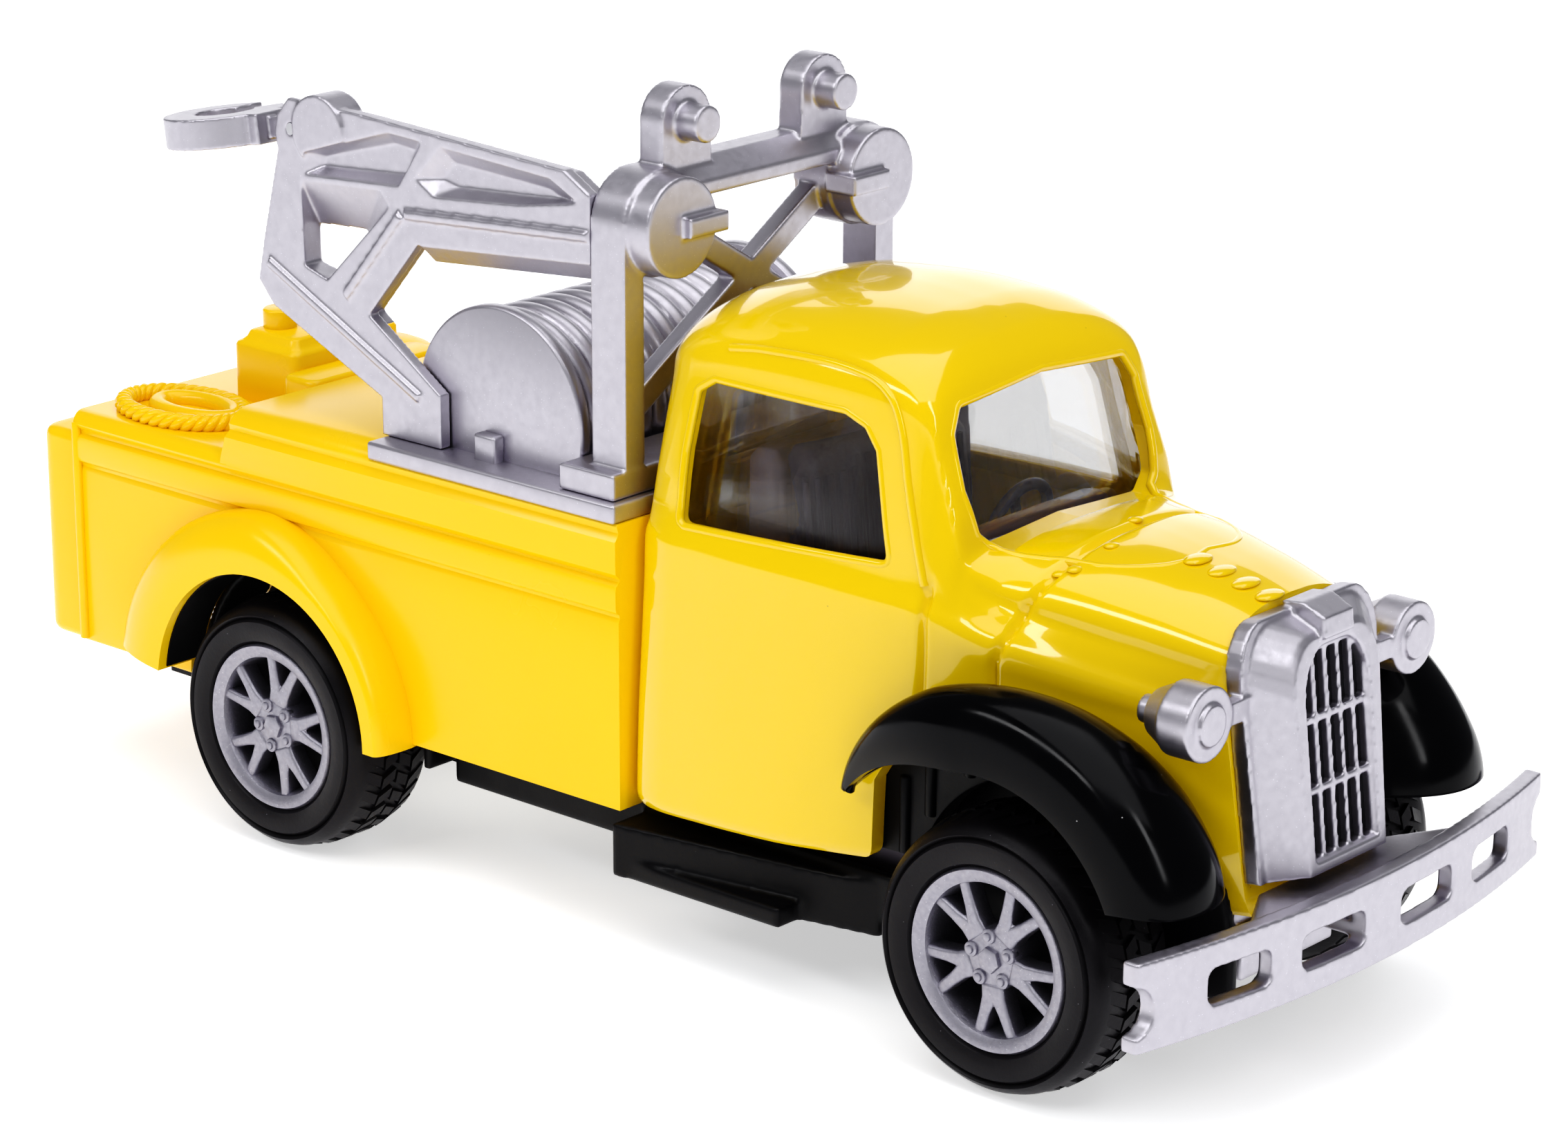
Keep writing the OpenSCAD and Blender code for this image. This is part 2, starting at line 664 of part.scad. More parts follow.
// The slots lie in a sunk field with a round top, this far below the face
field_w = 4.1;
field_depth = 0.4;
module radiator_grille() {
    color("silver") difference() {
        union() {
            at_front() {
                front_plate(0, 1.5) grille_outline(8.2, 8.8, grille_h + 0.4);
                hull() {
                    front_plate(1.4, 1.6) grille_outline(7.3, 7.9, grille_h - 0.1);
                    front_plate(3.4, 3.5) grille_outline(5.2, 5.8, grille_h - 1.2);
                    front_plate(3.7, 3.8) grille_outline(4.9, 5.5, grille_h - 1.6);
                }
                hull() {
                    block([0.6, -2, grille_h - 0.4], [2.4, 2, grille_h + 0.9]);
                    block([2.4, -1.9, grille_h - 1.8], [4.3, 1.9, grille_h - 0.2]);
                }
            }
            both_sides() headlamp();
            both_sides()
                block([cab_front_x + 0.9, -lamp_span / 2 + 1.5, lamp_z - 1],
                    [cab_front_x + 2.1, -6, lamp_z + 0.8]);
        }
        at_front() front_plate(3.8 - field_depth, 5) translate([0, 0.9]) intersection() {
            grille_outline(field_w, field_w, slot_n.y * slot_pitch.y);
            translate([-field_w, 0]) square([2 * field_w, slot_n.y * slot_pitch.y]);
        }
        at_front() intersection() {
            front_plate(2, 5) translate([0, 0.9])
                grille_outline(field_w, field_w, slot_n.y * slot_pitch.y - 0.2);
            for (row = [0 : slot_n.y - 1], i = [0 : slot_n.x - 1])
                translate([0, (i - (slot_n.x - 1) / 2) * slot_pitch.x, 1.1 + row * slot_pitch.y])
                    block([2.2, -slot_size.x / 2, 0], [5, slot_size.x / 2, slot_size.y]);
        }
    }
}

bumper_z0 = 10;
apron_x = cab_front_x + 3.4;
apron_z = 16.2;
bumper_front = cab_front_x + 9.4;
bumper_bow = 3.2;
window_r = 0.9;
window_low = 2.1;
horn_r = 2;
function bumper_x(y) = bumper_front - pow(abs(y) / bumper_w, 2) * bumper_bow;

module bumper_outline(x_off) {
    n = 16;
    polygon(concat(
        [for (i = [-n : n]) let (y = bumper_w * i / n) [bumper_x(y) + x_off, y]],
        [for (i = [n : -1 : -n]) let (y = bumper_w * i / n) [bumper_x(y) - bumper_t + x_off, y]]));
}

module bumper_window(y, w) {
    front_plate(cab_front_x, bumper_front + 1)
        round_rect([y - w / 2, bumper_z0 + window_low],
            [y + w / 2, bumper_z0 + bumper_h - window_low], window_r);
}

module front_bumper() {
    z1 = bumper_z0 + bumper_h;
    color("silver") difference() {
        union() {
            translate([0, 0, bumper_z0]) linear_extrude(bumper_h) bumper_outline(0);
            translate([0, 0, apron_z - 1.2]) linear_extrude(1.2)
                polygon([[apron_x, -8], [apron_x, 8],
                    for (y = [15, 8, 0, -8, -15]) [bumper_x(y) - bumper_t / 2 - 0.4, y]]);
            block([chassis_x1, -6, chassis_z], [chassis_x1 + 1.4, 6, 13.6]);
            block([chassis_x1 + 0.4, -6, 12.4], [bumper_front - bumper_t, 6, 13.6]);
            block([apron_x, -6, 12.4], [apron_x + 1.2, 6, apron_z]);
        }
        for (s = [-1, 1]) {
            bumper_window(s * 6.1, 7.6);
            bumper_window(s * 16.5, 6.6);
            front_plate(cab_front_x, bumper_front + 1)
                translate([s * (bumper_w + 0.3), bumper_z0 + bumper_h / 2 - 0.3]) circle(horn_r);
        }
    }
}

// ---------- crane ----------

drum_c = [-11, crane_top + 3.5];
drum_r = flange_r - 1.4;
turn_pitch = (drum_l - 2 * flange_t) / turn_n;

module crane_base() {
    half = drum_l / 2;
    color("silver") {
        block([crane_x0, -crane_w, crane_z0], [crane_x1, crane_w, crane_top]);
        intersection() {
            translate([drum_c.x, 0, drum_c.y]) union() {
                rod_y(drum_r, -half + 0.2, half - 0.2);
                both_sides() rod_y(flange_r, -half, -half + flange_t);
                for (i = [0 : turn_n - 1])
                    translate([0, -half + flange_t + turn_pitch * (i + 0.5), 0])
                        rotate([90, 0, 0]) rotate_extrude()
                            translate([drum_r, 0]) circle(turn_pitch / 2 - 0.03, $fn = 16);
            }
            block([-30, -20, crane_top - 0.5], [10, 20, 60]);
        }
        both_sides() block([-12.8, -half - 1.2, crane_top - 0.5], [-10.4, -half + 0.1, crane_top + 2.2]);
    }
}

post_x0 = 0.5;
post_x1 = post_x0 + post_section.x;
beam_z1 = crane_top + 2.2;
disc_y = mast_w - 4.3;
// Lamps on top of the mast: distance from the middle, height and radius
lamp_y = 8.3;
beacon_z = mast_z + 7.5;
beacon_r = 2.85;

module mast_frame() {
    color("silver") {
        block([post_x0 - 2.2, -mast_w - 1.5, crane_top + 0.02], [post_x1 + 0.1, mast_w + 1.5, beam_z1]);
        both_sides() {
            block([post_x0, -mast_w, beam_z1 - 0.1], [post_x1, -mast_w + post_section.y, mast_z]);
            translate([post_x0, -disc_y, mast_z]) rotate([0, 90, 0]) cylinder(r = 4.3, h = post_section.x);
            translate([post_x1 - 0.1, -disc_y, mast_z]) rotate([0, 90, 0]) cylinder(r = 4.05, h = 2.4);
            block([post_x1, -disc_y, mast_z - 0.8], [post_x1 + 3.2, -disc_y + 4.5, mast_z + 0.8]);
            front_plate(post_x0 + 0.4, post_x0 + 2.9) {
                translate([-lamp_y, beacon_z]) circle(beacon_r);
                polygon([[-lamp_y - beacon_r - 0.15, mast_z + 2.1], [-lamp_y - beacon_r + 0.05, beacon_z],
                    [-lamp_y + beacon_r - 0.05, beacon_z], [-lamp_y + beacon_r + 0.15, mast_z + 2.1]]);
            }
            translate([post_x0 + 2.8, -lamp_y, beacon_z]) rotate([0, 90, 0]) cylinder(r = 1.5, h = 2.4);
        }
        side_plate(-disc_y, disc_y) translate([0, mast_z])
            polygon([[post_x0, 1.5], [post_x1 + 0.6, 1.5], [post_x1 + 0.6, 2.7],
                [post_x1 - 1.4, 4.2], [post_x0, 4.2]]);
        front_plate(post_x0 + 0.7, post_x0 + 2.5) for (s = [-1, 1])
            bar([s * (mast_w - 1), 43], [-s * 9.5, mast_z - 0.6], 2.2);
    }
}

// Boom outline points, seen from the right side
boom_foot_x = [-23.3, -16.5];
module boom_outline() {
    top = crane_top + 0.02;
    polygon([[boom_foot_x.x, top], [boom_foot_x.y, top], [boom_foot_x.y, 42], [-24.6, 47.4],
        [-18.8, 54.2], [post_x0 - 0.05, 55.8], [post_x0 - 0.05, 61.3], [-2.3, 62.9], [-25.9, 64.1],
        [-33.6, 64.3], [-35.1, 62.6], [-34.9, 60.2], [-37.0, 52], [-37.8, 48.3], [-36.1, 46.3],
        [boom_foot_x.x, 40.6]]);
}
// Windows of the frame: their outline on the outer face, then on the floor of the pocket
win_a = [[[-32.3, 57.6], [-23, 58.2], [-21.8, 57], [-29.4, 49.6], [-32.1, 50.4]],
    [[-32.6, 52.2], [-28.2, 52.5], [-30.4, 49.9], [-32.6, 50.3]]];
win_b = [[[-31.7, 60], [-22, 63.1], [-18, 62.9], [-19.6, 60.5], [-20.8, 58.8], [-31.9, 58.1]],
    [[-30, 59.8], [-22, 62], [-19.6, 61.8], [-20.8, 59.6], [-30.4, 58.9]]];
win_c = [[[-16, 62.8], [-3.9, 62.1], [-0.6, 60.5], [-7.7, 59.3], [-16.9, 58.5], [-18.9, 59.7]],
    [[-15.2, 61.4], [-4.6, 60.9], [-3, 60.3], [-14.6, 59.5], [-16.6, 59.9]]];

// Pocket with sloping sides from the outer face to a depth
module pocket(outline, depth) {
    hull() {
        side_plate(-boom_y - 0.4, -boom_y) polygon(outline[0]);
        side_plate(-boom_y + depth - 0.1, -boom_y + depth) polygon(outline[1]);
    }
}

chord_end = post_x0 - 0.05;
chord_rise = (55.8 - 54.2) / (chord_end + 18.8);

module boom_frame() {
    color("silver") difference() {
        union() {
            side_plate(-boom_y, -boom_y + boom_web) boom_outline();
            side_plate(-boom_y + boom_web - 0.1, -boom_y + boom_t) difference() {
                offset(delta = -0.4) boom_outline();
                polygon([[-45, 30], [-10, 30], [-10, 46], [-24.5, 46.4], [-34.4, 50.6], [-38.5, 47]]);
                translate([-15, 50]) square([16, 4]);
            }
            // flared underside of the lower chord
            translate([chord_end, 0, 55.8]) rotate([0, -atan(chord_rise), 0])
                front_plate(-19, -0.1) polygon([[-boom_y, 0.4], [-boom_y, 0], [-boom_y + 1.6, -1.6],
                    [-boom_y + boom_t, -1.6], [-boom_y + boom_t, 0.4]]);
            side_plate(-boom_y, -boom_y + boom_t) translate([-32.4, 61.2]) circle(2.9);
            side_plate(-boom_y - 0.3, -boom_y + boom_t + 0.3) translate([-30, 62]) circle(3);
            side_plate(-boom_y - 0.35, -boom_y + 0.1) {
                bar([-20, 56.6], [chord_end - 0.2, 58], 0.7);
                bar([-20.6, 56.4], [-27.2, 48.6], 0.7);
                bar([-36.4, 50], [-18.8, 41.4], 0.7);
            }
        }
        pocket(win_a, boom_t + 0.6);
        pocket(win_b, 1);
        pocket(win_c, 1);
        // clevis slot and pin hole for the tow hook
        block([-40, hook_y - hook_tongue / 2 - hook_side, 57],
            [-31.4, hook_y + hook_tongue / 2 + hook_side, 66]);
        translate([hook_pin.x, 0, hook_pin.y]) rod_y(hook_pin_r, -20, 0);
    }
}

hook_y = -boom_y + boom_t / 2;
hook_tongue = 1;
hook_side = 0.1;
hook_pin = [-33.4, 61.7];
hook_pin_r = 0.5;
// Ring of the hook: distance from the pin, radius, radius of its bore, thickness and gap to the boom
hook_reach = 9.3;
hook_r = 5.1;
hook_bore_r = 2.5;
hook_t = 2.6;
hook_neck = 3.4;

module hook_pin() {
    color("silver") translate([hook_pin.x, 0, hook_pin.y])
        rod_y(hook_pin_r, -boom_y, -boom_y + boom_t);
}

module tow_hook() {
    color("silver") translate([hook_pin.x, hook_y, hook_pin.y]) rotate([0, -hook_droop, 0]) difference() {
        union() {
            rod_y(0.95, -hook_tongue / 2, hook_tongue / 2);
            block([-4.6, -hook_tongue / 2, -0.9], [0, hook_tongue / 2, 0.9]);
            translate([-hook_reach, 0, -hook_t / 2]) linear_extrude(hook_t) difference() {
                union() {
                    circle(hook_r);
                    translate([3, -1.8]) square([hook_reach - 3 - hook_neck, 3.6]);
                }
                circle(hook_bore_r);
                polygon([[-1.2, 0.8], [1, 0.8], [3, 7], [-0.6, 7]]);
            }
        }
        rod_y(hook_pin_r + 0.06, -5, 5);
    }
}

// ---------- wheels ----------

module at_wheel(x, side) {
    translate([x, side * wheel_y, axle_z]) rotate([90 * side, 0, 0]) children();
}

// Drawn about Z with the outer face at z = 0 and the inner face at z = tyre_w
module tyre() {
    r = tyre_d / 2;
    color([0.12, 0.12, 0.12]) rotate_extrude($fn = 72) polygon([
        [rim_r, 0.5], [rim_r + 0.6, 0.15], [r - 2.2, 0], [r - 1.5, 0.1], [r - 1.35, 0.35], [r - 1.15, 0.3],
        [r - 0.7, 0.5], [r - 0.15, 1.2], [r, 2], [r, tyre_w - 2], [r - 0.5, tyre_w - 0.6],
        [r - 1.5, tyre_w], [rim_r, tyre_w - 0.3]]);
}

module rim() {
    hub = 2.5;
    color("silver") difference() {
        union() {
            rotate_extrude($fn = 72)
                polygon([[rim_r - 1, 0.4], [rim_r - 0.3, 0.1], [rim_r, 0.5], [rim_r, tyre_w - 0.6],
                    [rim_r - 0.8, tyre_w - 0.6], [rim_r - 0.8, 1.4]]);
            translate([0, 0, 0.9]) cylinder(r = hub, h = tyre_w - 1.2);
            translate([0, 0, 0.5]) cylinder(r = 1.1, h = 1);
            translate([0, 0, 0.8]) linear_extrude(1.4) for (i = [0 : spoke_n - 1], s = [-1, 1])
                rotate(i * 360 / spoke_n)
                    bar([hub - 0.6, s * 0.45], (rim_r - 0.6) * [cos(s * 15), sin(s * 15)], 0.95);
            translate([0, 0, tyre_w - 2.2]) cylinder(r = rim_r - 0.5, h = 1);
            for (i = [0 : spoke_n - 1]) rotate((i + 0.5) * 360 / spoke_n)
                translate([1.85, 0, 0.45]) cylinder(r = 0.42, h = 1, $fn = 16);
        }
        translate([0, 0, 2.4]) cylinder(d = axle_d, h = 20);
    }
}

module axle(x) {
    color("silver") translate([x, 0, axle_z]) rod_y(axle_d / 2, -wheel_y + 2.4, wheel_y - 2.4);
}

module front_axle() { axle(front_axle_x); }
module rear_axle() { axle(rear_axle_x); }
module tyre_front_right() { at_wheel(front_axle_x, -1) tyre(); }
module tyre_front_left() { at_wheel(front_axle_x, 1) tyre(); }
module tyre_rear_right() { at_wheel(rear_axle_x, -1) tyre(); }
module tyre_rear_left() { at_wheel(rear_axle_x, 1) tyre(); }
module rim_front_right() { at_wheel(front_axle_x, -1) rim(); }
module rim_front_left() { at_wheel(front_axle_x, 1) rim(); }
module rim_rear_right() { at_wheel(rear_axle_x, -1) rim(); }
module rim_rear_left() { at_wheel(rear_axle_x, 1) rim(); }

// ---------- pull-back motor ----------

// Flat gear outline with straight-flanked teeth, a tooth on the X axis
module gear_outline(r, teeth) {
    root = r - 0.72 * gear_m - 0.1;
    tip = r + 0.75 * gear_m;
    half_root = 0.62 * gear_m;
    half_tip = 0.32 * gear_m;
    circle(root);
    for (i = [0 : teeth - 1]) rotate(i * 360 / teeth)
        polygon([[root - 0.2, -half_root], [tip, -half_tip], [tip, half_tip], [root - 0.2, half_root]]);
}

gear_t = 3;
module axle_gear() {
    color("white") translate([rear_axle_x, gear_t / 2, axle_z]) rotate([90, 0, 0]) linear_extrude(gear_t)
        difference() {
            rotate(gear_angle) gear_outline(gear_r, axle_teeth);
            circle(d = axle_d);
        }
}

arbor_r = 1.2;
module spring_barrel() {
    color("white") translate([barrel_x, gear_t / 2, barrel_z]) rotate([90, 0, 0]) difference() {
        union() {
            linear_extrude(gear_t) rotate(gear_angle + 180 + 180 / barrel_teeth)
                gear_outline(barrel_r, barrel_teeth);
            translate([0, 0, gear_t - 0.1]) cylinder(r = barrel_r - 1.4, h = 3);
        }
        translate([0, 0, gear_t - 1.6]) cylinder(r = barrel_r - 2.2, h = 5);
        translate([0, 0, -1]) cylinder(r = arbor_r + axle_play, h = 20);
    }
}

function ray(a) = [cos(a), sin(a)];

// Flat spiral strip, wound from the arbor out to the barrel's wall
spring_turns = 6;
module mainspring() {
    r0 = arbor_r + 0.7;
    r1 = barrel_r - 2.45;
    t = 0.25;
    steps = 30 * spring_turns;
    outer = [for (i = [0 : steps]) (r0 + (r1 - r0) * i / steps) * ray(360 * spring_turns * i / steps)];
    inner = [for (i = [steps : -1 : 0])
        (r0 - t + (r1 - r0) * i / steps) * ray(360 * spring_turns * i / steps)];
    color("gray") translate([barrel_x, -gear_t / 2 + 1.5, barrel_z]) rotate([90, 0, 0])
        linear_extrude(2.6) polygon(concat(outer, inner));
}

module barrel_arbor() {
    color("silver") translate([barrel_x, 0, barrel_z]) rod_y(arbor_r, -motor_w + 0.6, motor_w - 0.6);
}

case_gap = 0.3;
axle_case_r = gear_r + gear_m + case_gap + motor_wall;
barrel_case_r = barrel_r + gear_m + case_gap + motor_wall;
module motor_box(d) {
    hull() {
        translate([rear_axle_x, 0, axle_z]) rod_y(axle_case_r - d, -motor_w + d, motor_w - d);
        translate([barrel_x, 0, barrel_z]) rod_y(barrel_case_r - d, -motor_w + d, motor_w - d);
    }
}

module motor_half(side) {
    color("white") intersection() {
        difference() {
            motor_box(0);
            motor_box(motor_wall);
            translate([rear_axle_x, 0, axle_z]) rod_y(axle_d / 2 + axle_play, -20, 20);
            translate([barrel_x, 0, barrel_z]) rod_y(arbor_r, -motor_w + 0.6, motor_w - 0.6);
        }
        if (side < 0) block([-60, -20, 0], [20, 0, 60]);
        else block([-60, 0, 0], [20, 20, 60]);
    }
}

module motor_case_right() { motor_half(-1); }
module motor_case_left() { motor_half(1); }

cab_body();
cab_glazing();
interior_tub();
dashboard();
steering_wheel();
truck_bed();
chassis();
front_fender_right();
front_fender_left();
radiator_grille();
front_bumper();
crane_base();
mast_frame();
boom_frame();
tow_hook();
hook_pin();
front_axle();
rear_axle();
tyre_front_right();
tyre_front_left();
tyre_rear_right();
tyre_rear_left();
rim_front_right();
rim_front_left();
rim_rear_right();
rim_rear_left();
axle_gear();
spring_barrel();
mainspring();
barrel_arbor();
motor_case_right();
motor_case_left();
chassis_screws();
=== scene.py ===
"""Toy tow truck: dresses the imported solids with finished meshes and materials.

Sizes in the classes are millimetres in the part's own frame: X forward, Y to the left, Z up.
"""

from __future__ import annotations

import logging
import math
from collections.abc import Callable, Iterable, Sequence
from dataclasses import dataclass, field
from enum import Enum
from functools import partial
from typing import Any

import bmesh
import bpy
import numpy as np
from mathutils import Matrix, Vector
from mathutils.bvhtree import BVHTree

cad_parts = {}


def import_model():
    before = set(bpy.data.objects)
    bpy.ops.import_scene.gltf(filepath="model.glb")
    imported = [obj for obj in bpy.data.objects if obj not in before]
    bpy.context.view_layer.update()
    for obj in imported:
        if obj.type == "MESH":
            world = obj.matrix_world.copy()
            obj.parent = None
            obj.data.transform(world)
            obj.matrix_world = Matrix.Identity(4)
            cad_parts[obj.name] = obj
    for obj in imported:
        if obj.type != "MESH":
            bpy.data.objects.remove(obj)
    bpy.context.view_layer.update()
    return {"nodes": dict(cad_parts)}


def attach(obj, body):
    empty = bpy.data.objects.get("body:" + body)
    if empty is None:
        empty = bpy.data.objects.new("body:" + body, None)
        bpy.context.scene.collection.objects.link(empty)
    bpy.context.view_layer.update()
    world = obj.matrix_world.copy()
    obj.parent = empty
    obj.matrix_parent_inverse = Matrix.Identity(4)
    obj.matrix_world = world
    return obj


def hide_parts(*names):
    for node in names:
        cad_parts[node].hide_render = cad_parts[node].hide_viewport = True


LOG = logging.getLogger("tow_truck")
MM = 0.001
MOST_FACES = 150_000
NOISE_RANGE = (0.3, 0.7)  # Where most of a noise texture's values lie.
BEYOND = 24.0  # Half width that is past every side of the cab.
# Places in x and z: the axles, and the centre of the front fenders.
FRONT_AXLE = (45.3, 11.0)
REAR_AXLE = (-32.4, 11.0)
FENDER_CENTRE = (44.5, 12.5)
# The hood's front leans back round this place in x and z.
NOSE = (56.6, 35.0)
LEAN = math.radians(7)

Thing = bpy.types.Object
Material = bpy.types.Material
Four = tuple[float, float, float, float]
Point = tuple[float, float, float]
Pair = tuple[float, float]
Pairs = tuple[Pair, ...]
Flat = Sequence[Pair]
NODES: dict[str, Thing] = {}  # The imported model's nodes by name.


# ---------- small tools ----------


def hex_linear(code: str) -> Four:
    """Turns an sRGB hex colour into linear values.

    Args:
        code: Six hex digits with a leading hash.

    Returns:
        Red, green, blue and alpha in linear light.
    """
    raw = [int(code[i : i + 2], 16) / 255 for i in (1, 3, 5)]
    line = [c / 12.92 if c <= 0.04045 else ((c + 0.055) / 1.055) ** 2.4 for c in raw]
    return line[0], line[1], line[2], 1.0


def add_node(
    tree: bpy.types.NodeTree,
    kind: str,
    settings: dict[str | int, Any] | None = None,
    links: dict[str | int, Any] | None = None,
) -> bpy.types.Node:
    """Adds a node with its settings and links.

    Args:
        tree: The tree that the node goes in.
        kind: The node's type name.
        settings: Values by attribute name, or by the name or number of an input.
        links: Output sockets by the name or number of the input that they feed.

    Returns:
        The new node.
    """
    node = tree.nodes.new(kind)
    for key, value in (settings or {}).items():
        if isinstance(key, str) and hasattr(node, key):
            setattr(node, key, value)
        else:
            node.inputs[key].default_value = value
    for key, source in (links or {}).items():
        tree.links.new(source, node.inputs[key])
    return node


def smooth_rows(rows: np.ndarray, count: int) -> np.ndarray:
    """Draws a smooth line through rows of numbers without overshoot.

    Args:
        rows: The rows to pass through, one point each.
        count: How many rows to give back.

    Returns:
        The smooth rows, from the first to the last.
    """
    step = np.linalg.norm(np.diff(rows, axis=0), axis=1)
    at = np.concatenate([[0.0], np.cumsum(np.maximum(step, 1e-6))])
    gap = np.diff(at)[:, None]
    slope = np.diff(rows, axis=0) / gap
    ease = np.zeros_like(rows)
    same = slope[:-1] * slope[1:] > 0
    w0, w1 = 2 * gap[1:] + gap[:-1], gap[1:] + 2 * gap[:-1]
    with np.errstate(divide="ignore", invalid="ignore"):
        mean = (w0 + w1) / (w0 / slope[:-1] + w1 / slope[1:])
    ease[1:-1] = np.where(same, mean, 0.0)
    ease[0], ease[-1] = slope[0], slope[-1]
    want = np.linspace(0, at[-1], count)
    i = np.clip(np.searchsorted(at, want, side="right") - 1, 0, len(at) - 2)
    h = gap[i]
    t = ((want - at[i]) / gap[i, 0])[:, None]
    return (
        (2 * t**3 - 3 * t**2 + 1) * rows[i]
        + (t**3 - 2 * t**2 + t) * h * ease[i]
        + (-2 * t**3 + 3 * t**2) * rows[i + 1]
        + (t**3 - t**2) * h * ease[i + 1]
    )


def rounded(outline: Flat, radius: float, steps: int = 6) -> np.ndarray:
    """Rounds the corners of a flat outline.

    Args:
        outline: Corner points in order.
        radius: Radius of the corners.
        steps: Points on each corner.

    Returns:
        The rounded outline.
    """
    pts = np.array(outline, float)
    out: list[np.ndarray] = []
    for i, p in enumerate(pts):
        a, b = pts[i - 1] - p, pts[(i + 1) % len(pts)] - p
        la, lb = np.linalg.norm(a), np.linalg.norm(b)
        a, b = a / la, b / lb
        half = math.acos(float(np.clip(a @ b, -1, 1))) / 2
        cut = min(radius / max(math.tan(half), 1e-3), 0.45 * la, 0.45 * lb)
        for t in np.linspace(0, 1, steps):
            out.append((1 - t) ** 2 * (p + a * cut) + 2 * t * (1 - t) * p + t * t * (p + b * cut))
    return np.array(out)


def around(count: int) -> list[float]:
    """Returns evenly spaced angles of a full turn, in radians."""
    return [math.tau * i / count for i in range(count)]


def arc(centre: Sequence[float], r: float, turns: Iterable[float]) -> list[Pair]:
    """Returns the points of a flat arc at angles in radians."""
    return [(centre[0] + r * math.cos(t), centre[1] + r * math.sin(t)) for t in turns]


def link(name: str, data: bpy.types.ID) -> Thing:
    """Puts a new object with its data in the scene and returns it."""
    thing = bpy.data.objects.new(name, data)
    bpy.context.scene.collection.objects.link(thing)
    return thing


@dataclass
class Mould:
    """Collects closed forms in millimetres and casts them as one mesh.

    Each method that adds a form returns the mould.
    """

    points: list[Sequence[float]] = field(default_factory=list)
    faces: list[range | tuple[int, ...]] = field(default_factory=list)

    def loft(self, rings: Sequence[Sequence[Sequence[float]]], loop: bool = False) -> Mould:
        """Skins a row of rings.

        Args:
            rings: Points by ring, point and axis.
            loop: The last ring joins the first, and there are no end caps.

        Returns:
            The mould.
        """
        rows = np.asarray(rings, float)
        m, n = rows.shape[:2]
        base = len(self.points)
        self.points.extend(rows.reshape(-1, 3).tolist())
        for i in range(m if loop else m - 1):
            a, c = base + i * n, base + (i + 1) % m * n
            self.faces += [(a + j, a + (j + 1) % n, c + (j + 1) % n, c + j) for j in range(n)]
        if not loop:
            last = base + (m - 1) * n
            self.faces += [range(base + n - 1, base - 1, -1), range(last, last + n)]
        return self

    def block(self, lo: Sequence[float], hi: Sequence[float]) -> Mould:
        """Adds a box between two corners and returns the mould."""
        (x0, y0, z0), (x1, y1, z1) = lo, hi
        return self.loft([[(x, y0, z0), (x, y1, z0), (x, y1, z1), (x, y0, z1)] for x in (x0, x1)])

    def prism(self, outline: Sequence[Sequence[float]], axis: int, lo: float, hi: float) -> Mould:
        """Pushes a flat outline along an axis.

        Args:
            outline: Points on the two other axes, in their order.
            axis: 0, 1 or 2.
            lo: Where it starts.
            hi: Where it ends.

        Returns:
            The mould.
        """
        flat = np.asarray(outline, float)
        return self.loft([[np.insert(p, axis, at) for p in flat] for at in (lo, hi)])

    def rod(self, start: Sequence[float], end: Sequence[float], r: float, n: int) -> Mould:
        """Adds a round bar with its rims eased.

        Args:
            start: Middle of the first end.
            end: Middle of the last end.
            r: Radius.
            n: Sides.

        Returns:
            The mould.
        """
        a, b = Vector(start), Vector(end)
        turn = Vector((0, 0, 1)).rotation_difference(b - a)
        long = (b - a).length
        ease = min(0.18, r / 3, long / 4)
        rows = [(0, r - ease), (ease * 0.3, r - ease * 0.3), (ease, r)]
        rows += [(long - ease, r), (long - ease * 0.3, r - ease * 0.3), (long, r - ease)]
        rings = [[(*p, z) for p in arc((0, 0), q, around(n))] for z, q in rows]
        return self.loft([[a + turn @ Vector(p) for p in ring] for ring in rings])

    def tube(self, path: Sequence[Sequence[float]], r: float, n: int, loop: bool = True) -> Mould:
        """Sweeps a round section along a path.

        Args:
            path: Points of the centre line.
            r: Radius of the section.
            n: Sides of the section.
            loop: The path closes on itself.

        Returns:
            The mould.
        """
        path = np.array([tuple(p) for p in path], float)
        ahead = np.roll(path, -1, 0) - np.roll(path, 1, 0)
        if not loop:
            ahead[0], ahead[-1] = path[1] - path[0], path[-1] - path[-2]
        circle = arc((0, 0), 1, around(n))
        side = None
        rings = []
        for p, d in zip(path, ahead):
            d = Vector(d).normalized()
            side = d.orthogonal() if side is None else (side - d * side.dot(d))
            side.normalize()
            up = d.cross(side)
            rings.append([Vector(p) + r * (c * side + s * up) for c, s in circle])
        return self.loft(rings, loop)

    def cast(self, name: str) -> Thing:
        """Makes the mesh in metres, with its faces outwards, and returns its object."""
        mesh = bpy.data.meshes.new(name)
        mesh.from_pydata([(x * MM, y * MM, z * MM) for x, y, z in self.points], [], self.faces)
        shape = bmesh.new()
        shape.from_mesh(mesh)
        bmesh.ops.recalc_face_normals(shape, faces=shape.faces)
        shape.to_mesh(mesh)
        shape.free()
        return link(name, mesh)


def settle(thing: Thing) -> Thing:
    """Turns an object's modifiers into plain mesh and returns it."""
    graph = bpy.context.evaluated_depsgraph_get()
    graph.update()
    mesh = bpy.data.meshes.new_from_object(thing.evaluated_get(graph))
    old = thing.data
    thing.modifiers.clear()
    thing.data = mesh
    if old.users == 0:
        bpy.data.meshes.remove(old)
    return thing


def modify(thing: Thing, kind: str, **settings: Any) -> Thing:
    """Runs one modifier with its settings and returns the object with the result."""
    tool = thing.modifiers.new(kind.lower(), kind)
    for key, value in settings.items():
        setattr(tool, key, value)
    return settle(thing)


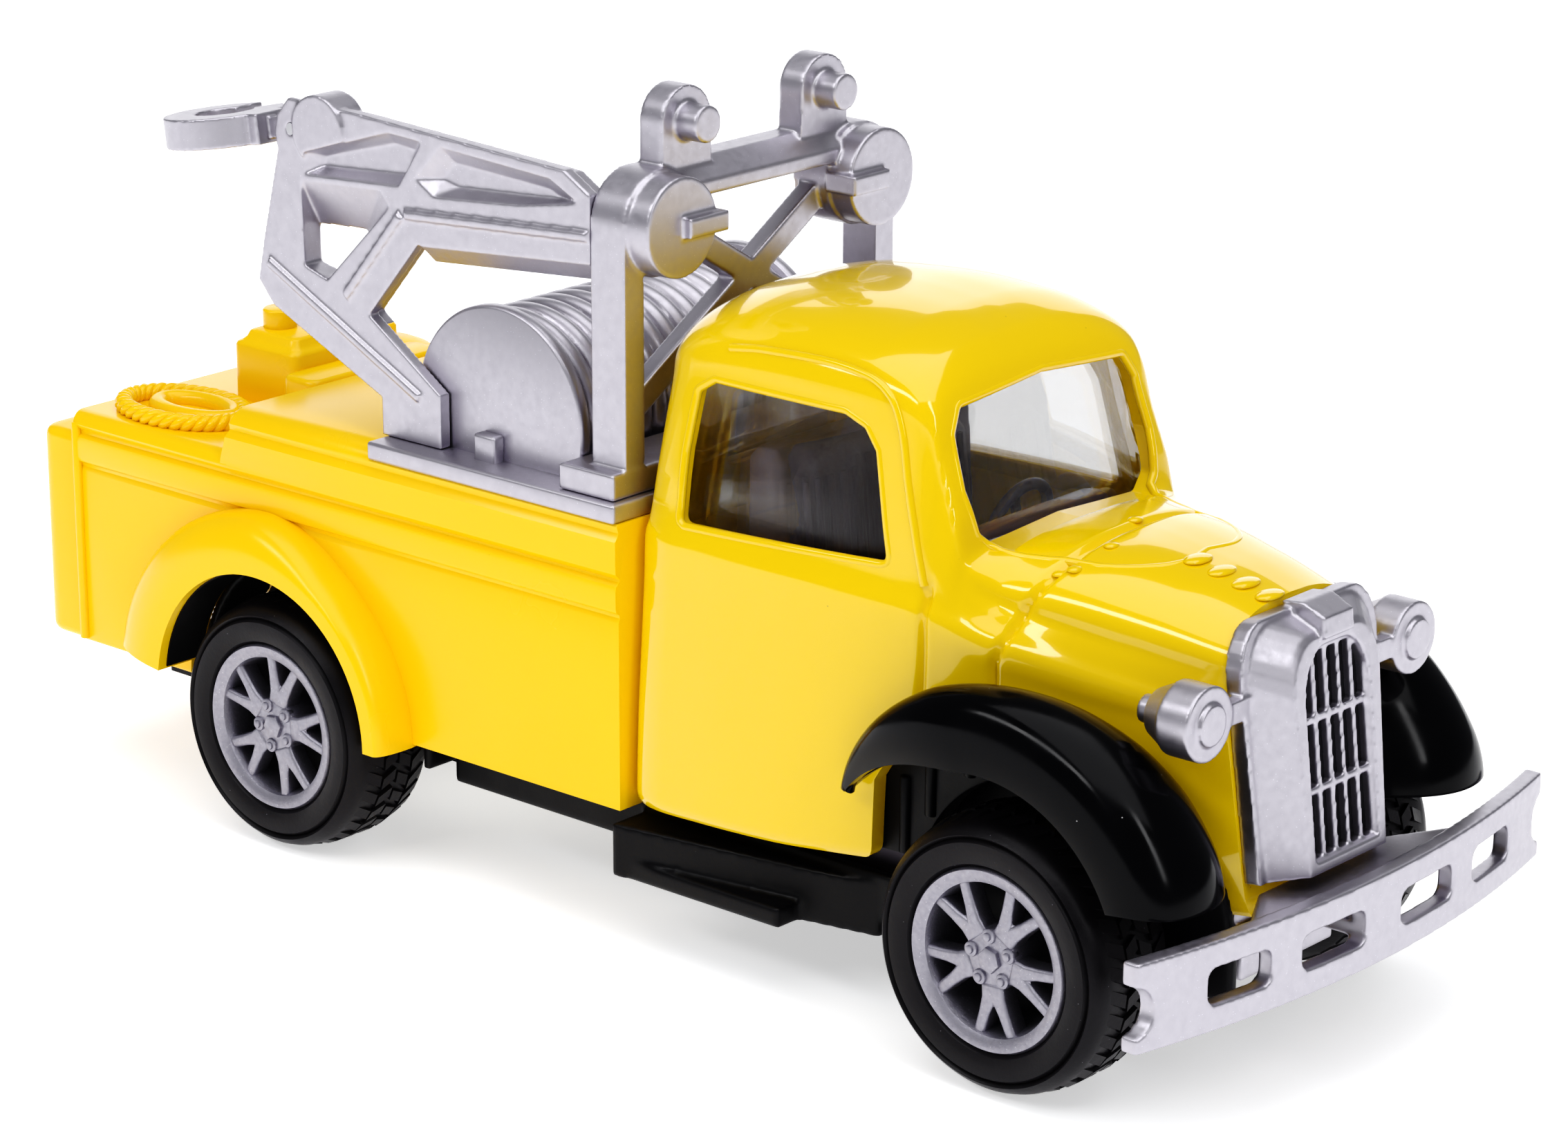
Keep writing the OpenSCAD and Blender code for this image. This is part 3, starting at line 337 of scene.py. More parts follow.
def ease_edges(thing: Thing, width: float, angle: float = 32, rows: int = 2) -> Thing:
    """Rounds the sharp edges.

    Args:
        thing: The object.
        width: Width of the rounding, in millimetres.
        angle: Smallest angle in degrees that counts as sharp.
        rows: Segments of the rounding.

    Returns:
        The object.
    """
    limits = {"limit_method": "ANGLE", "angle_limit": math.radians(angle), "harden_normals": False}
    return modify(thing, "BEVEL", width=width * MM, segments=rows, **limits)


def smooth(thing: Thing, angle: float = 40) -> Thing:
    """Shades an object smoothly, except across edges sharper than the angle in degrees."""
    mesh = thing.data
    mesh.polygons.foreach_set("use_smooth", [True] * len(mesh.polygons))
    mesh.set_sharp_from_angle(angle=math.radians(angle))
    return thing


def soften(node: str, name: str, voxel: float, passes: int) -> Thing:
    """Copies a node as a moulding with soft edges.

    Args:
        node: The node to copy.
        name: Name of the new piece.
        voxel: Grain of the new mesh, in millimetres.
        passes: How often the surface is relaxed.

    Returns:
        The new piece.
    """
    mesh = NODES[node].data.copy()
    mesh.materials.clear()
    shape = bmesh.new()
    shape.from_mesh(mesh)
    bmesh.ops.remove_doubles(shape, verts=shape.verts, dist=1e-6)
    shape.to_mesh(mesh)
    shape.free()
    thing = link(name, mesh)
    modify(thing, "REMESH", mode="VOXEL", voxel_size=voxel * MM, adaptivity=0.0)
    modify(thing, "SMOOTH", factor=0.5, iterations=passes)
    count = 2 * len(thing.data.polygons)
    if count > MOST_FACES:
        modify(thing, "DECIMATE", ratio=MOST_FACES / count)
    return smooth(thing, 60)


class Use(Enum):
    """What an object does with the tools that it is combined with."""

    CUT = "DIFFERENCE"
    ADD = "UNION"
    KEEP_INSIDE = "INTERSECT"


def combine(thing: Thing, tools: Sequence[Thing], use: Use) -> Thing:
    """Cuts or joins an object with its tools, removes them and returns the object."""
    for tool in tools:
        modify(thing, "BOOLEAN", object=tool, operation=use.value, solver="EXACT")
        bpy.data.objects.remove(tool)
    return thing


def join(name: str, parts: Sequence[Thing]) -> Thing:
    """Puts the meshes of several objects in one object and returns it."""
    shape = bmesh.new()
    for part in parts:
        shape.from_mesh(part.data)
    mesh = bpy.data.meshes.new(name)
    shape.to_mesh(mesh)
    shape.free()
    for part in parts:
        bpy.data.objects.remove(part)
    return link(name, mesh)


def surface_tree(thing: Thing) -> BVHTree:
    """Returns a search tree of an object's faces."""
    faces = [tuple(face.vertices) for face in thing.data.polygons]
    return BVHTree.FromPolygons([v.co for v in thing.data.vertices], faces)


def touch(
    tree: BVHTree, start: Sequence[float], way: Sequence[float], sink: float = 0.0
) -> Vector | None:
    """Finds where a ray meets a surface.

    Args:
        tree: The surface.
        start: Where the ray starts, in millimetres.
        way: Its direction.
        sink: How far below the surface the answer lies, in millimetres.

    Returns:
        The place in millimetres, or None where the ray misses.
    """
    place, normal, _, _ = tree.ray_cast(Vector(start) * MM, Vector(way))
    return None if place is None else place / MM - normal * sink


class Repeat(Enum):
    """How a tree of Geometry Nodes repeats a shape."""

    LINE = "line"
    WHEEL = "wheel"


def repeat(
    thing: Thing,
    how: Repeat,
    count: int,
    step: Sequence[float] = (0, 0, 0),
    centre: Sequence[float] = (0, 0, 0),
    finish: Material | None = None,
) -> Thing:
    """Repeats a shape with a tree of Geometry Nodes, and bakes the result.

    Args:
        thing: The shape, drawn where the first copy goes, or round the origin for a wheel.
        how: Along a line, or round an axle along Y.
        count: How many copies.
        step: Millimetres from copy to copy on a line.
        centre: Where the whole goes, in millimetres.
        finish: Material of the copies.

    Returns:
        The object, now with all copies in one mesh.
    """
    tree = bpy.data.node_groups.new(f"repeat_{how.value}", "GeometryNodeTree")
    face = tree.interface
    node = partial(add_node, tree)
    face.new_socket("Geometry", in_out="INPUT", socket_type="NodeSocketGeometry")
    sizes = {
        "Count": ("NodeSocketInt", count),
        "Step": ("NodeSocketVector", [c * MM for c in step]),
        "Centre": ("NodeSocketVector", [c * MM for c in centre]),
        "Finish": ("NodeSocketMaterial", finish),
    }
    for label, (kind, _) in sizes.items():
        face.new_socket(label, in_out="INPUT", socket_type=kind)
    face.new_socket("Geometry", in_out="OUTPUT", socket_type="NodeSocketGeometry")
    inlet = node("NodeGroupInput").outputs
    index = node("GeometryNodeInputIndex").outputs[0]
    points = node("GeometryNodePoints", links={"Count": inlet["Count"]}).outputs[0]
    placing: dict[str | int, Any] = {"Points": points, "Instance": inlet["Geometry"]}
    if how is Repeat.WHEEL:
        share = node("ShaderNodeMath", {"operation": "DIVIDE"}, {0: index, 1: inlet["Count"]})
        turn = node("ShaderNodeMath", {"operation": "MULTIPLY", 1: math.tau}, {0: share.outputs[0]})
        placing["Rotation"] = node("ShaderNodeCombineXYZ", links={"Y": turn.outputs[0]}).outputs[0]
    else:
        scaled = {0: inlet["Step"], "Scale": index}
        away = node("ShaderNodeVectorMath", {"operation": "SCALE"}, scaled).outputs[0]
        moved = {"Geometry": points, "Offset": away}
        placing["Points"] = node("GeometryNodeSetPosition", links=moved).outputs[0]
    mesh = node("GeometryNodeInstanceOnPoints", links=placing).outputs[0]
    for kind, socket, label in (
        ("GeometryNodeTransform", "Translation", "Centre"),
        ("GeometryNodeRealizeInstances", "", ""),
        ("GeometryNodeSetMaterial", "Material", "Finish"),
    ):
        more = {socket: inlet[label]} if socket else {}
        mesh = node(kind, links={"Geometry": mesh, **more}).outputs[0]
    node("NodeGroupOutput", links={0: mesh})
    tool = thing.modifiers.new("repeat", "NODES")
    tool.node_group = tree
    sockets = {s.name: s.identifier for s in face.items_tree if s.in_out == "INPUT"}
    for label, (_, value) in sizes.items():
        if value is not None:
            tool[sockets[label]] = value
    return settle(thing)


def install(
    thing: Thing,
    finish: Material,
    stands_for: Sequence[str] = (),
    body: str = "truck",
) -> Thing:
    """Dresses a piece and hangs it on its body.

    Args:
        thing: The finished mesh.
        finish: Its material.
        stands_for: Nodes that it replaces.
        body: The body that it rides on.

    Returns:
        The piece.
    """
    thing.data.materials.clear()
    thing.data.materials.append(finish)
    for face in thing.data.polygons:
        face.material_index = 0
    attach(thing, body)
    if stands_for:
        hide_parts(*stands_for)
    LOG.info("%s: %d faces on %s", thing.name, len(thing.data.polygons), body)
    return thing


def install_soft(
    node: str,
    name: str,
    voxel: float,
    passes: int,
    finish: Material,
    body: str = "truck",
    extra: Callable[[], Thing] | None = None,
) -> None:
    """Installs a node's softened copy in its place.

    Args:
        node: The node.
        name: Name of the new piece.
        voxel: Grain of the new mesh, in millimetres.
        passes: How often the surface is relaxed.
        finish: Its material.
        body: The body that it rides on.
        extra: Makes a mesh that joins the copy.
    """
    piece = soften(node, name, voxel, passes)
    if extra:
        piece = join(name, [piece, extra()])
    install(piece, finish, [node], body)


# ---------- finishes ----------


@dataclass(frozen=True)
class Finish:
    """A surface: two tones that drift into each other, a relief, and dust or wear.

    Sizes are millimetres: drift is the patch size of the tones, grain the relief's pitch and
    depth its height, speck the distance between dust specks.
    """

    name: str
    tone: str
    tone_2: str
    rough: float
    rough_2: float
    metal: float = 0.0
    coat: float = 0.0
    drift: float = 12.0
    grain: float = 1.0
    depth: float = 0.01
    speck: float = 0.0
    speck_share: float = 0.12
    speck_tone: str = "#B8B8B8"
    speck_cover: float = 0.75
    streak: Point = (1.0, 1.0, 1.0)
    clear: float = 0.0
    shine: float = 0.5
    glow: float = 0.0
    alpha: float = 1.0

    def build(self) -> Material:
        """Makes the material from its nodes."""
        mat = bpy.data.materials.new(self.name)
        mat.use_nodes = True
        mat.node_tree.nodes.clear()
        node = partial(add_node, mat.node_tree)
        place = node("ShaderNodeTexCoord").outputs["Object"]
        stretched = node("ShaderNodeMapping", {"Scale": self.streak}, {"Vector": place}).outputs[0]

        def noise(size: float, detail: float, rough: float) -> bpy.types.NodeSocket:
            """Adds a noise texture of one size and returns its output."""
            sizes = {"Scale": 1 / (size * MM), "Detail": detail, "Roughness": rough}
            return node("ShaderNodeTexNoise", sizes, {"Vector": stretched}).outputs["Fac"]

        def spread(source: bpy.types.NodeSocket, *ends: float) -> bpy.types.NodeSocket:
            """Maps a value from the first two ends to the last two and returns the output."""
            limits = dict(zip(("From Min", "From Max", "To Min", "To Max"), ends))
            return node("ShaderNodeMapRange", limits, {"Value": source}).outputs[0]

        patch = noise(self.drift, 4.0, 0.55)
        tones = {"data_type": "RGBA", 6: hex_linear(self.tone), 7: hex_linear(self.tone_2)}
        tone = node("ShaderNodeMix", tones, {0: patch}).outputs[2]
        rough = spread(patch, *NOISE_RANGE, self.rough, self.rough_2)
        lift = {"Strength": 1.0, "Distance": self.depth * MM}
        bump = node("ShaderNodeBump", lift, {"Height": noise(self.grain, 3.0, 0.6)}).outputs[0]
        if self.speck:
            sizes = {"Scale": 1 / (self.speck * MM), "Randomness": 1.0}
            cells = node("ShaderNodeTexVoronoi", sizes, {"Vector": place}).outputs["Distance"]
            dots = spread(cells, self.speck_share, self.speck_share * 0.5, 0.0, self.speck_cover)
            tones = {"data_type": "RGBA", 7: hex_linear(self.speck_tone)}
            tone = node("ShaderNodeMix", tones, {0: dots, 6: tone}).outputs[2]
        values = {
            "Metallic": self.metal,
            "Coat Weight": self.coat,
            "Transmission Weight": self.clear,
            "Specular IOR Level": self.shine,
            "Emission Strength": self.glow,
            "Alpha": self.alpha,
        }
        maps = {"Base Color": tone, "Roughness": rough, "Normal": bump}
        skin = node("ShaderNodeBsdfPrincipled", values, maps).outputs[0]
        node("ShaderNodeOutputMaterial", links={"Surface": skin})
        return mat


class Finishes:
    """Every finish on the truck, built once."""

    def __init__(self) -> None:
        """Builds the materials."""
        # Baked enamel on the zinc casting: deep gloss with a faint orange peel.
        self.enamel = Finish(
            "yellow_enamel", "#ECC400", "#F0C800", 0.14, 0.2, drift=18, grain=1.8, depth=0.005,
            speck=3.4, speck_share=0.02, speck_tone="#8A6A10", shine=0.3, coat=0.9,
        ).build()
        # ABS in its own colour: satin, a shade lighter than the enamel.
        self.abs_yellow = Finish(
            "yellow_abs", "#F8C604", "#FBCB10", 0.2, 0.28, drift=14, grain=0.5, depth=0.003,
            speck=4.0, speck_share=0.018, speck_tone="#8A6A10", shine=0.45,
        ).build()
        # Metallic lacquer over moulded plastic: fine bright flake in a greyer binder.
        self.silver = Finish(
            "silver_lacquer", "#BFBCC4", "#B6B3BC", 0.34, 0.43, metal=0.95, drift=0.7, grain=0.16,
            depth=0.004, speck=0.42, speck_tone="#DDDBE4",
        ).build()
        # The same lacquer sprayed on the wheels: coarser flake, greyer.
        self.rim_silver = Finish(
            "wheel_lacquer", "#A9A7B0", "#8E8C97", 0.36, 0.5, metal=0.9, drift=0.4, grain=0.2,
            depth=0.02, speck=0.32, speck_share=0.14, speck_tone="#D8D6DE",
        ).build()
        # Polystyrene with a high gloss: blue-black, with dust specks and soft rub marks.
        self.black_gloss = Finish(
            "black_polystyrene", "#050508", "#09090E", 0.1, 0.24, drift=4, grain=2.2, depth=0.006,
            speck=2.3, speck_share=0.03, shine=0.22,
        ).build()
        # Moulded plastic of the base: dull black with a fine spark-eroded texture.
        self.black_matt = Finish(
            "black_plastic", "#0B0A0D", "#131217", 0.34, 0.5, drift=6, grain=0.35, speck=2.0,
            speck_share=0.025, speck_tone="#5A5A5A", shine=0.3,
        ).build()
        # The cabin's plastic is painted lighter than its own black, a warmer charcoal that stands
        # in for the light the glazing keeps out, so that it reads behind the glazing.
        self.cabin = Finish(
            "cabin_plastic_lightened", "#4C4652", "#5A5460", 0.36, 0.5, drift=5, grain=0.4, depth=0.012,
            shine=0.4,
        ).build()
        # Moulded rubber: charcoal with a soft sheen and dust in its texture.
        self.rubber = Finish(
            "tyre_rubber", "#121014", "#1C191E", 0.36, 0.5, drift=3, grain=0.4, depth=0.014,
            speck=1.1, speck_share=0.045, speck_tone="#77747A", shine=0.34,
        ).build()
        # Clear styrene insert: water-clear with a slight waviness.
        self.clear = Finish(
            "clear_styrene", "#FBFBFA", "#FFFFFF", 0.01, 0.04, drift=9, grain=3, depth=0.008,
            clear=1.0, alpha=0.32,
        ).build()
        # Drawn steel rod: bright with fine turning marks along its length.
        self.steel = Finish(
            "drawn_steel", "#B9B9BC", "#A6A6AA", 0.25, 0.35, metal=1.0, drift=3, grain=0.3,
            depth=0.006, streak=(1.0, 0.2, 1.0),
        ).build()
        # Moulded nylon of the motor: milky white, waxy.
        self.nylon = Finish(
            "white_nylon", "#E6E4DC", "#DEDBD0", 0.38, 0.48, drift=6, grain=0.6, depth=0.006,
        ).build()


# ---------- cab ----------


@dataclass
class Cab:
    """The zinc casting with its windows, and what is inside it.

    Each row of keys is x, floor z, floor half width, belt half width, belt z, roof half width,
    roof side z, top z and the squareness of the roof. The seams of door and hood are z and x, a
    rib of the inner wings is x and its two ends, and seat_tops are y and z.
    """

    wall: float = 1.2
    seat_gap: float = 0.12
    glass: float = 0.9
    rear_bend: float = 13.0
    front_bend: float = 25.0
    lean_from: float = 45.0
    corner: float = 0.9
    arch_r: float = 14.3
    wing_r: float = 16.4
    wing_foot: float = 28.7
    wing_ribs: tuple[Point, ...] = ((31.9, 14.3, 20.6), (34.4, 17.9, 23.4), (38.2, 22, 26.4))
    bulge: float = 0.25
    shoulder: Pairs = ((0.4, 1.5), (0.34, 0.7), (0.16, 0.15), (-0.1, -0.3))
    keys: tuple[tuple[float, ...], ...] = (
        (5.3, 12.6, 16.4, 14.8, 35.6, 11.4, 47.2, 50.8, 0.8),
        (6.0, 12.6, 17.3, 15.8, 35.6, 12.7, 47.7, 52.1, 0.8),
        (7.5, 12.6, 18.0, 16.3, 35.6, 13.5, 48.3, 53.1, 0.8),
        (9.3, 12.6, 18.2, 16.5, 35.6, 13.8, 48.7, 53.7, 0.8),
        (13, 12.7, 18.2, 16.5, 35.6, 14.0, 48.9, 54.4, 0.8),
        (20, 12.9, 17.9, 16.3, 35.5, 14.1, 49.0, 54.8, 0.8),
        (26, 13.3, 17.2, 15.9, 35.3, 14.0, 49.0, 54.4, 0.8),
        (30, 13.6, 16.6, 15.5, 35.1, 13.7, 48.7, 53.1, 0.75),
        (31.4, 13.7, 16.4, 15.3, 35.0, 13.5, 48.2, 52.0, 0.7),
        (32.3, 13.8, 16.2, 15.2, 34.9, 13.2, 47.3, 50.8, 0.65),
        (33.5, 13.9, 15.9, 15.0, 34.6, 13.2, 43.8, 46.9, 0.6),
        (35.0, 14.0, 15.5, 14.7, 34.2, 13.4, 39.8, 42.5, 0.6),
        (36.2, 14.0, 15.2, 14.5, 33.8, 13.2, 36.8, 39.0, 0.65),
        (38.8, 14.0, 14.4, 13.9, 33.0, 12.2, 35.2, 39.5, 0.8),
        (44, 14.0, 12.8, 12.6, 32.0, 11.4, 34.4, 39.4, 0.8),
        (51, 14.0, 10.6, 10.7, 31.0, 9.9, 33.4, 38.4, 0.8),
        (56.6, 14.0, 8.0, 8.9, 30.0, 8.5, 32.6, 37.0, 0.8),
    )
    side_window: Pairs = (
        (9.4, 36.3), (30.2, 37), (29.1, 42), (28.3, 45.6), (27, 47.3), (24.8, 48.1), (11.4, 48.1),
        (9.6, 47), (9.2, 42),
    )
    front_window: Pairs = (
        (-9.6, 38.3), (0, 38.8), (9.6, 38.3), (11.2, 39.6), (11.8, 43), (11.5, 47.2), (10.3, 49.2),
        (0, 50), (-10.3, 49.2), (-11.5, 47.2), (-11.8, 43), (-11.2, 39.6),
    )
    rear_window: Pairs = ((-7, 38.5), (7, 38.5), (6.4, 44.6), (-6.4, 44.6))
    door: Pairs = ((13, 33.6), (37, 33.6))
    hood: Pairs = ((13, 39.4), (31, 39.5), (35, 40.7), (38.5, 42.2))
    seam_width: float = 0.34
    seam_depth: float = 0.42
    louvres: Pairs = ((49.4, -2.2), (55.8, -1.9))
    louvre_count: int = 4
    cowl_pips: Pairs = ((41.9, -9.3), (43, -8.9), (43.5, -5.1), (41.5, 0.5))
    gutter: Pairs = (
        (12.6, 50.7), (16, 51.1), (22, 51.3), (26.6, 50.9), (29, 49.7), (30.2, 47.4), (31.1, 43.6),
        (32.2, 39.4), (33.2, 36),
    )
    seat_tops: Pairs = ((2.0, 40.9), (3.4, 42.1), (9.4, 41.7), (11.2, 40.2))
    dash_roll_edge: Pairs = ((29.9, 33.6), (32.9, 33.6), (32.9, 38.5), (29.9, 37.9))
    insert_edge: Pairs = (
        (6.4, 35.3), (33, 35.3), (33, 37.9), (35.2, 37.9), (35.2, 50.8), (6.4, 50.8),
    )

    def half(self, k: np.ndarray, count: int) -> np.ndarray:
        """Returns the right half of a section as points of half width and height."""
        _, foot_z, foot, belt, belt_z, roof, side_z, top_z, square = k
        pts = [(foot - 0.5, foot_z), (foot, foot_z + 0.8)]
        for t in (0.3, 0.6, 0.85):
            pts.append((foot + (belt - foot) * t + self.bulge, foot_z + (belt_z - foot_z) * t))
        pts += [(belt + out, belt_z - drop) for out, drop in self.shoulder]
        for t in (0.35, 0.7, 1.0):
            pts.append((belt + (roof - belt) * t, belt_z + (side_z - belt_z) * t))
        for a in np.radians(np.arange(9, 91, 9)):
            across = max(math.cos(a), 0.0) ** square
            pts.append((roof * across, side_z + (top_z - side_z) * math.sin(a) ** (square + 0.1)))
        return smooth_rows(np.array(pts), count)

    def groove(self, x: float, half: np.ndarray) -> np.ndarray:
        """Returns the points of a half section sunk into the door and hood seams."""
        along = np.gradient(half, axis=0)
        along /= np.linalg.norm(along, axis=1)[:, None]
        inward = np.stack([-along[:, 1], along[:, 0]], axis=1)
        z = half[:, 1]
        dip = np.zeros(len(half))
        for line, top in ((self.door, 36.5), (self.hood, 60)):
            at = np.interp(z, *zip(*line))
            slant = np.hypot(1, np.gradient(at) / np.maximum(np.abs(np.gradient(z)), 0.05))
            near = np.exp(-(((x - at) / slant / self.seam_width) ** 2))
            dip += near * np.clip(top - z, 0, 1)
        return half + inward * (self.seam_depth * dip)[:, None]

    def skin(self, d: float) -> Mould:
        """Builds the closed form of the casting, set in by d."""
        fine = d == 0
        rings = []
        for k in smooth_rows(np.array(self.keys), 260 if fine else 90):
            x = k[0]
            k[1] -= 0 if fine else 3 + d
            k[[2, 3, 5, 7]] -= d
            k[6] -= d / 2
            half = self.half(k, 84 if fine else 44)
            if fine:
                half = self.groove(x, half)
            shift = 0.0
            if x < self.rear_bend:
                shift = d * (self.rear_bend - x) / (self.rear_bend - self.keys[0][0])
            elif x > self.front_bend:
                shift = -d * min(1, (x - self.front_bend) / 6)
            right = [(x + shift + self.lean(x, z), -w, z) for w, z in half]
            rings.append(right + [(at, -y, z) for at, y, z in right[-2::-1]])
        return Mould().loft(rings)

    def lean(self, x: float, z: float) -> float:
        """Returns how far the leaning front moves a point."""
        share = max(x - self.lean_from, 0.0) / (NOSE[0] - self.lean_from)
        return (NOSE[1] - z) * math.tan(LEAN) * share

    def cutters(self) -> list[Thing]:
        """Makes the tools that cut the windows and the front wheel arches."""
        tools = [
            Mould().prism(rounded(outline, self.corner), axis, lo, hi).cast("window_tool")
            for axis, outline, lo, hi in (
                (1, self.side_window, 9, 20), (1, self.side_window, -20, -9),
                (0, self.front_window, 27, 37.6), (0, self.rear_window, 4, 9),
            )
        ]
        x, z = self.wing_foot, 5.0
        foot = arc((x, 14.7), 1.2, np.radians(np.linspace(-90, 0, 6)))
        wing = [(x, z), *foot, *self.wing_arc(), (FENDER_CENTRE[0], z)]
        for outline, inner in ((arc(FRONT_AXLE, self.arch_r, around(96)), 9.3), (wing, 12.6)):
            for side in (-1, 1):
                ends = sorted((side * inner, side * BEYOND))
                tools.append(Mould().prism(outline, 1, *ends).cast("arch_tool"))
        return tools

    def wing_arc(self) -> list[Pair]:
        """Returns the arc on which the casting ends under the fender's crest."""
        return arc(FENDER_CENTRE, self.wing_r, np.radians(np.linspace(152, 90, 20)))

    def inner_wings(self) -> Thing:
        """Makes the black walls behind the front wheels, with their upright ribs."""
        tyre_side = arc(FRONT_AXLE, 12.3, np.radians(np.linspace(94, 165, 24)))
        outline = [(28.4, 14.0), (28.4, 20.0), *self.wing_arc(), *tyre_side]
        mould = Mould()
        for side in (-1, 1):
            mould.prism(outline, 1, *sorted((side * 12.9, side * 15.0)))
            for x, z0, z1 in self.wing_ribs:
                mould.rod((x, side * 14.9, z0), (x, side * 14.9, z1), 0.55, 14)
        return smooth(ease_edges(mould.cast("inner_wings"), 0.15, 50))

    def lips(self, surface: Thing) -> Thing:
        """Sweeps a rounded lip round each window, and the two gutters, on the casting."""
        tree = surface_tree(surface)
        mould = Mould()
        views = (
            (self.side_window, lambda u, v: ((u, -30, v), (0, 1, 0))),
            (self.side_window, lambda u, v: ((u, 30, v), (0, -1, 0))),
            (self.front_window, lambda u, v: ((60, u, v), (-1, 0, 0))),
            (self.rear_window, lambda u, v: ((0, u, v), (1, 0, 0))),
        )
        for outline, aim in views:
            edge = rounded(outline, self.corner, 8)
            fine = []
            for p, q in zip(edge, np.roll(edge, -1, 0)):
                cuts = max(1, int(np.linalg.norm(q - p) / 0.5))
                fine += [p + (q - p) * i / cuts for i in range(cuts)]
            path = [touch(tree, *aim(u, v), 0.27) for u, v in fine]
            mould.tube([p for p in path if p is not None], 0.37, 12)
        for side in (-1, 1):
            line = smooth_rows(np.array(self.gutter), 60)
            path = [touch(tree, (x, 30 * side, z), (0, -side, 0), 0.1) for x, z in line]
            mould.tube(path, 0.36, 12, loop=False)
        return mould.cast("window_lips")

    def dome(self, x: float, y: float, z: float) -> Mould:
        """Draws a rounded bump round the origin, of the half sizes given."""
        rings = []
        for a in np.radians(np.arange(-88, 89, 16)):
            ring = arc((0, 0), math.cos(a), around(20))
            rings.append([(x * math.sin(a), y * u, z * v) for u, v in ring])
        return Mould().loft(rings)

    def vents(self, surface: Thing) -> Thing:
        """Makes the row of hood louvres and the pips of the cowl, lying on the casting."""
        find = partial(touch, surface_tree(surface), way=(0, 0, -1))
        first, last = (find((x, y, 60)) for x, y in self.louvres)
        row = self.dome(0.9, 1.5, 0.32).cast("hood_louvres")
        step = (last - first) / (self.louvre_count - 1)
        parts = [repeat(row, Repeat.LINE, self.louvre_count, step, first)]
        for x, y in self.cowl_pips:
            pip = self.dome(0.55, 0.7, 0.26).cast("cowl_pip")
            pip.data.transform(Matrix.Translation(find((x, y, 60)) * MM))
            parts.append(pip)
        return join("hood_vents", parts)

    def seats(self) -> Thing:
        """Makes the ribbed backs of the two seats, over the plain bench."""
        mould = Mould()
        for side in (-1, 1):
            rings = []
            for y in (2.0, 2.5, 3.4, 6.5, 9.4, 10.6, 11.2):
                high = float(np.interp(y, *zip(*self.seat_tops)))
                slim = 0.5 if y in (2.0, 11.2) else 0.0
                shape = [(12.5 + slim, 31.2), (17.7 - slim, 31.2), (16.7 - slim, high - 0.8)]
                shape += [(16.2 - slim, high), (13.6 + slim, high), (12.9 + slim, high - 0.8)]
                rings.append([(x, side * y, z) for x, z in shape])
            mould.loft(rings)
        parts = [smooth(ease_edges(mould.cast("seat_backs"), 0.35, 30, 3))]
        for y in (-9.6, 3.6):
            rib = Mould().rod((17.75, 0, 32.6), (16.95, 0, 39.8), 0.28, 10).cast("rib")
            parts.append(smooth(repeat(rib, Repeat.LINE, 5, (0, 1.5, 0), (0, y, 0)), 60))
        return join("seat_backs", parts)

    def dash_roll(self) -> Thing:
        """Makes the padded roll on top of the dashboard."""
        shape = rounded(self.dash_roll_edge, 1.1, 8)
        x0, z0 = 31.4, 35.2
        rings = [
            [(x0 + (x - x0) * slim, y, z0 + (z - z0) * slim) for x, z in shape]
            for y, slim in ((-9, 0.75), (-8.8, 0.92), (-8.3, 1), (8.3, 1), (8.8, 0.92), (9, 0.75))
        ]
        return smooth(Mould().loft(rings).cast("dash_pad"), 50)

    def build(self, looks: Finishes) -> None:
        """Builds the casting, its glazing and the cabin."""
        casting = self.skin(0).cast("cab_casting")
        trim = [smooth(self.lips(casting), 80), smooth(self.vents(casting), 80)]
        combine(casting, [self.skin(self.wall).cast("cab_core"), *self.cutters()], Use.CUT)
        body = join("cab_casting", [smooth(casting, 35), *trim])
        install(body, looks.enamel, ["cab_body"])
        install(self.inner_wings(), looks.black_matt)
        d = self.wall + self.seat_gap
        insert = self.skin(d).cast("window_insert")
        bounds = Mould().prism(self.insert_edge, 1, -16, 16).cast("insert_bounds")
        combine(insert, [self.skin(d + self.glass).cast("insert_core")], Use.CUT)
        combine(insert, [bounds], Use.KEEP_INSIDE)
        install(smooth(insert, 35), looks.clear, ["cab_glazing"])
        # The cabin's pieces take the lightened plastic: painted light in place of the light that
        # the glazing keeps out.
        for node, name, voxel, extra in (
            ("interior_tub", "seat_and_tub", 0.3, self.seats),
            ("dashboard", "dash_roll", 0.2, self.dash_roll),
            ("steering_wheel", "steering_wheel_trim", 0.12, None),
        ):
            install_soft(node, name, voxel, 2, looks.cabin, extra=extra)


# ---------- front end ----------


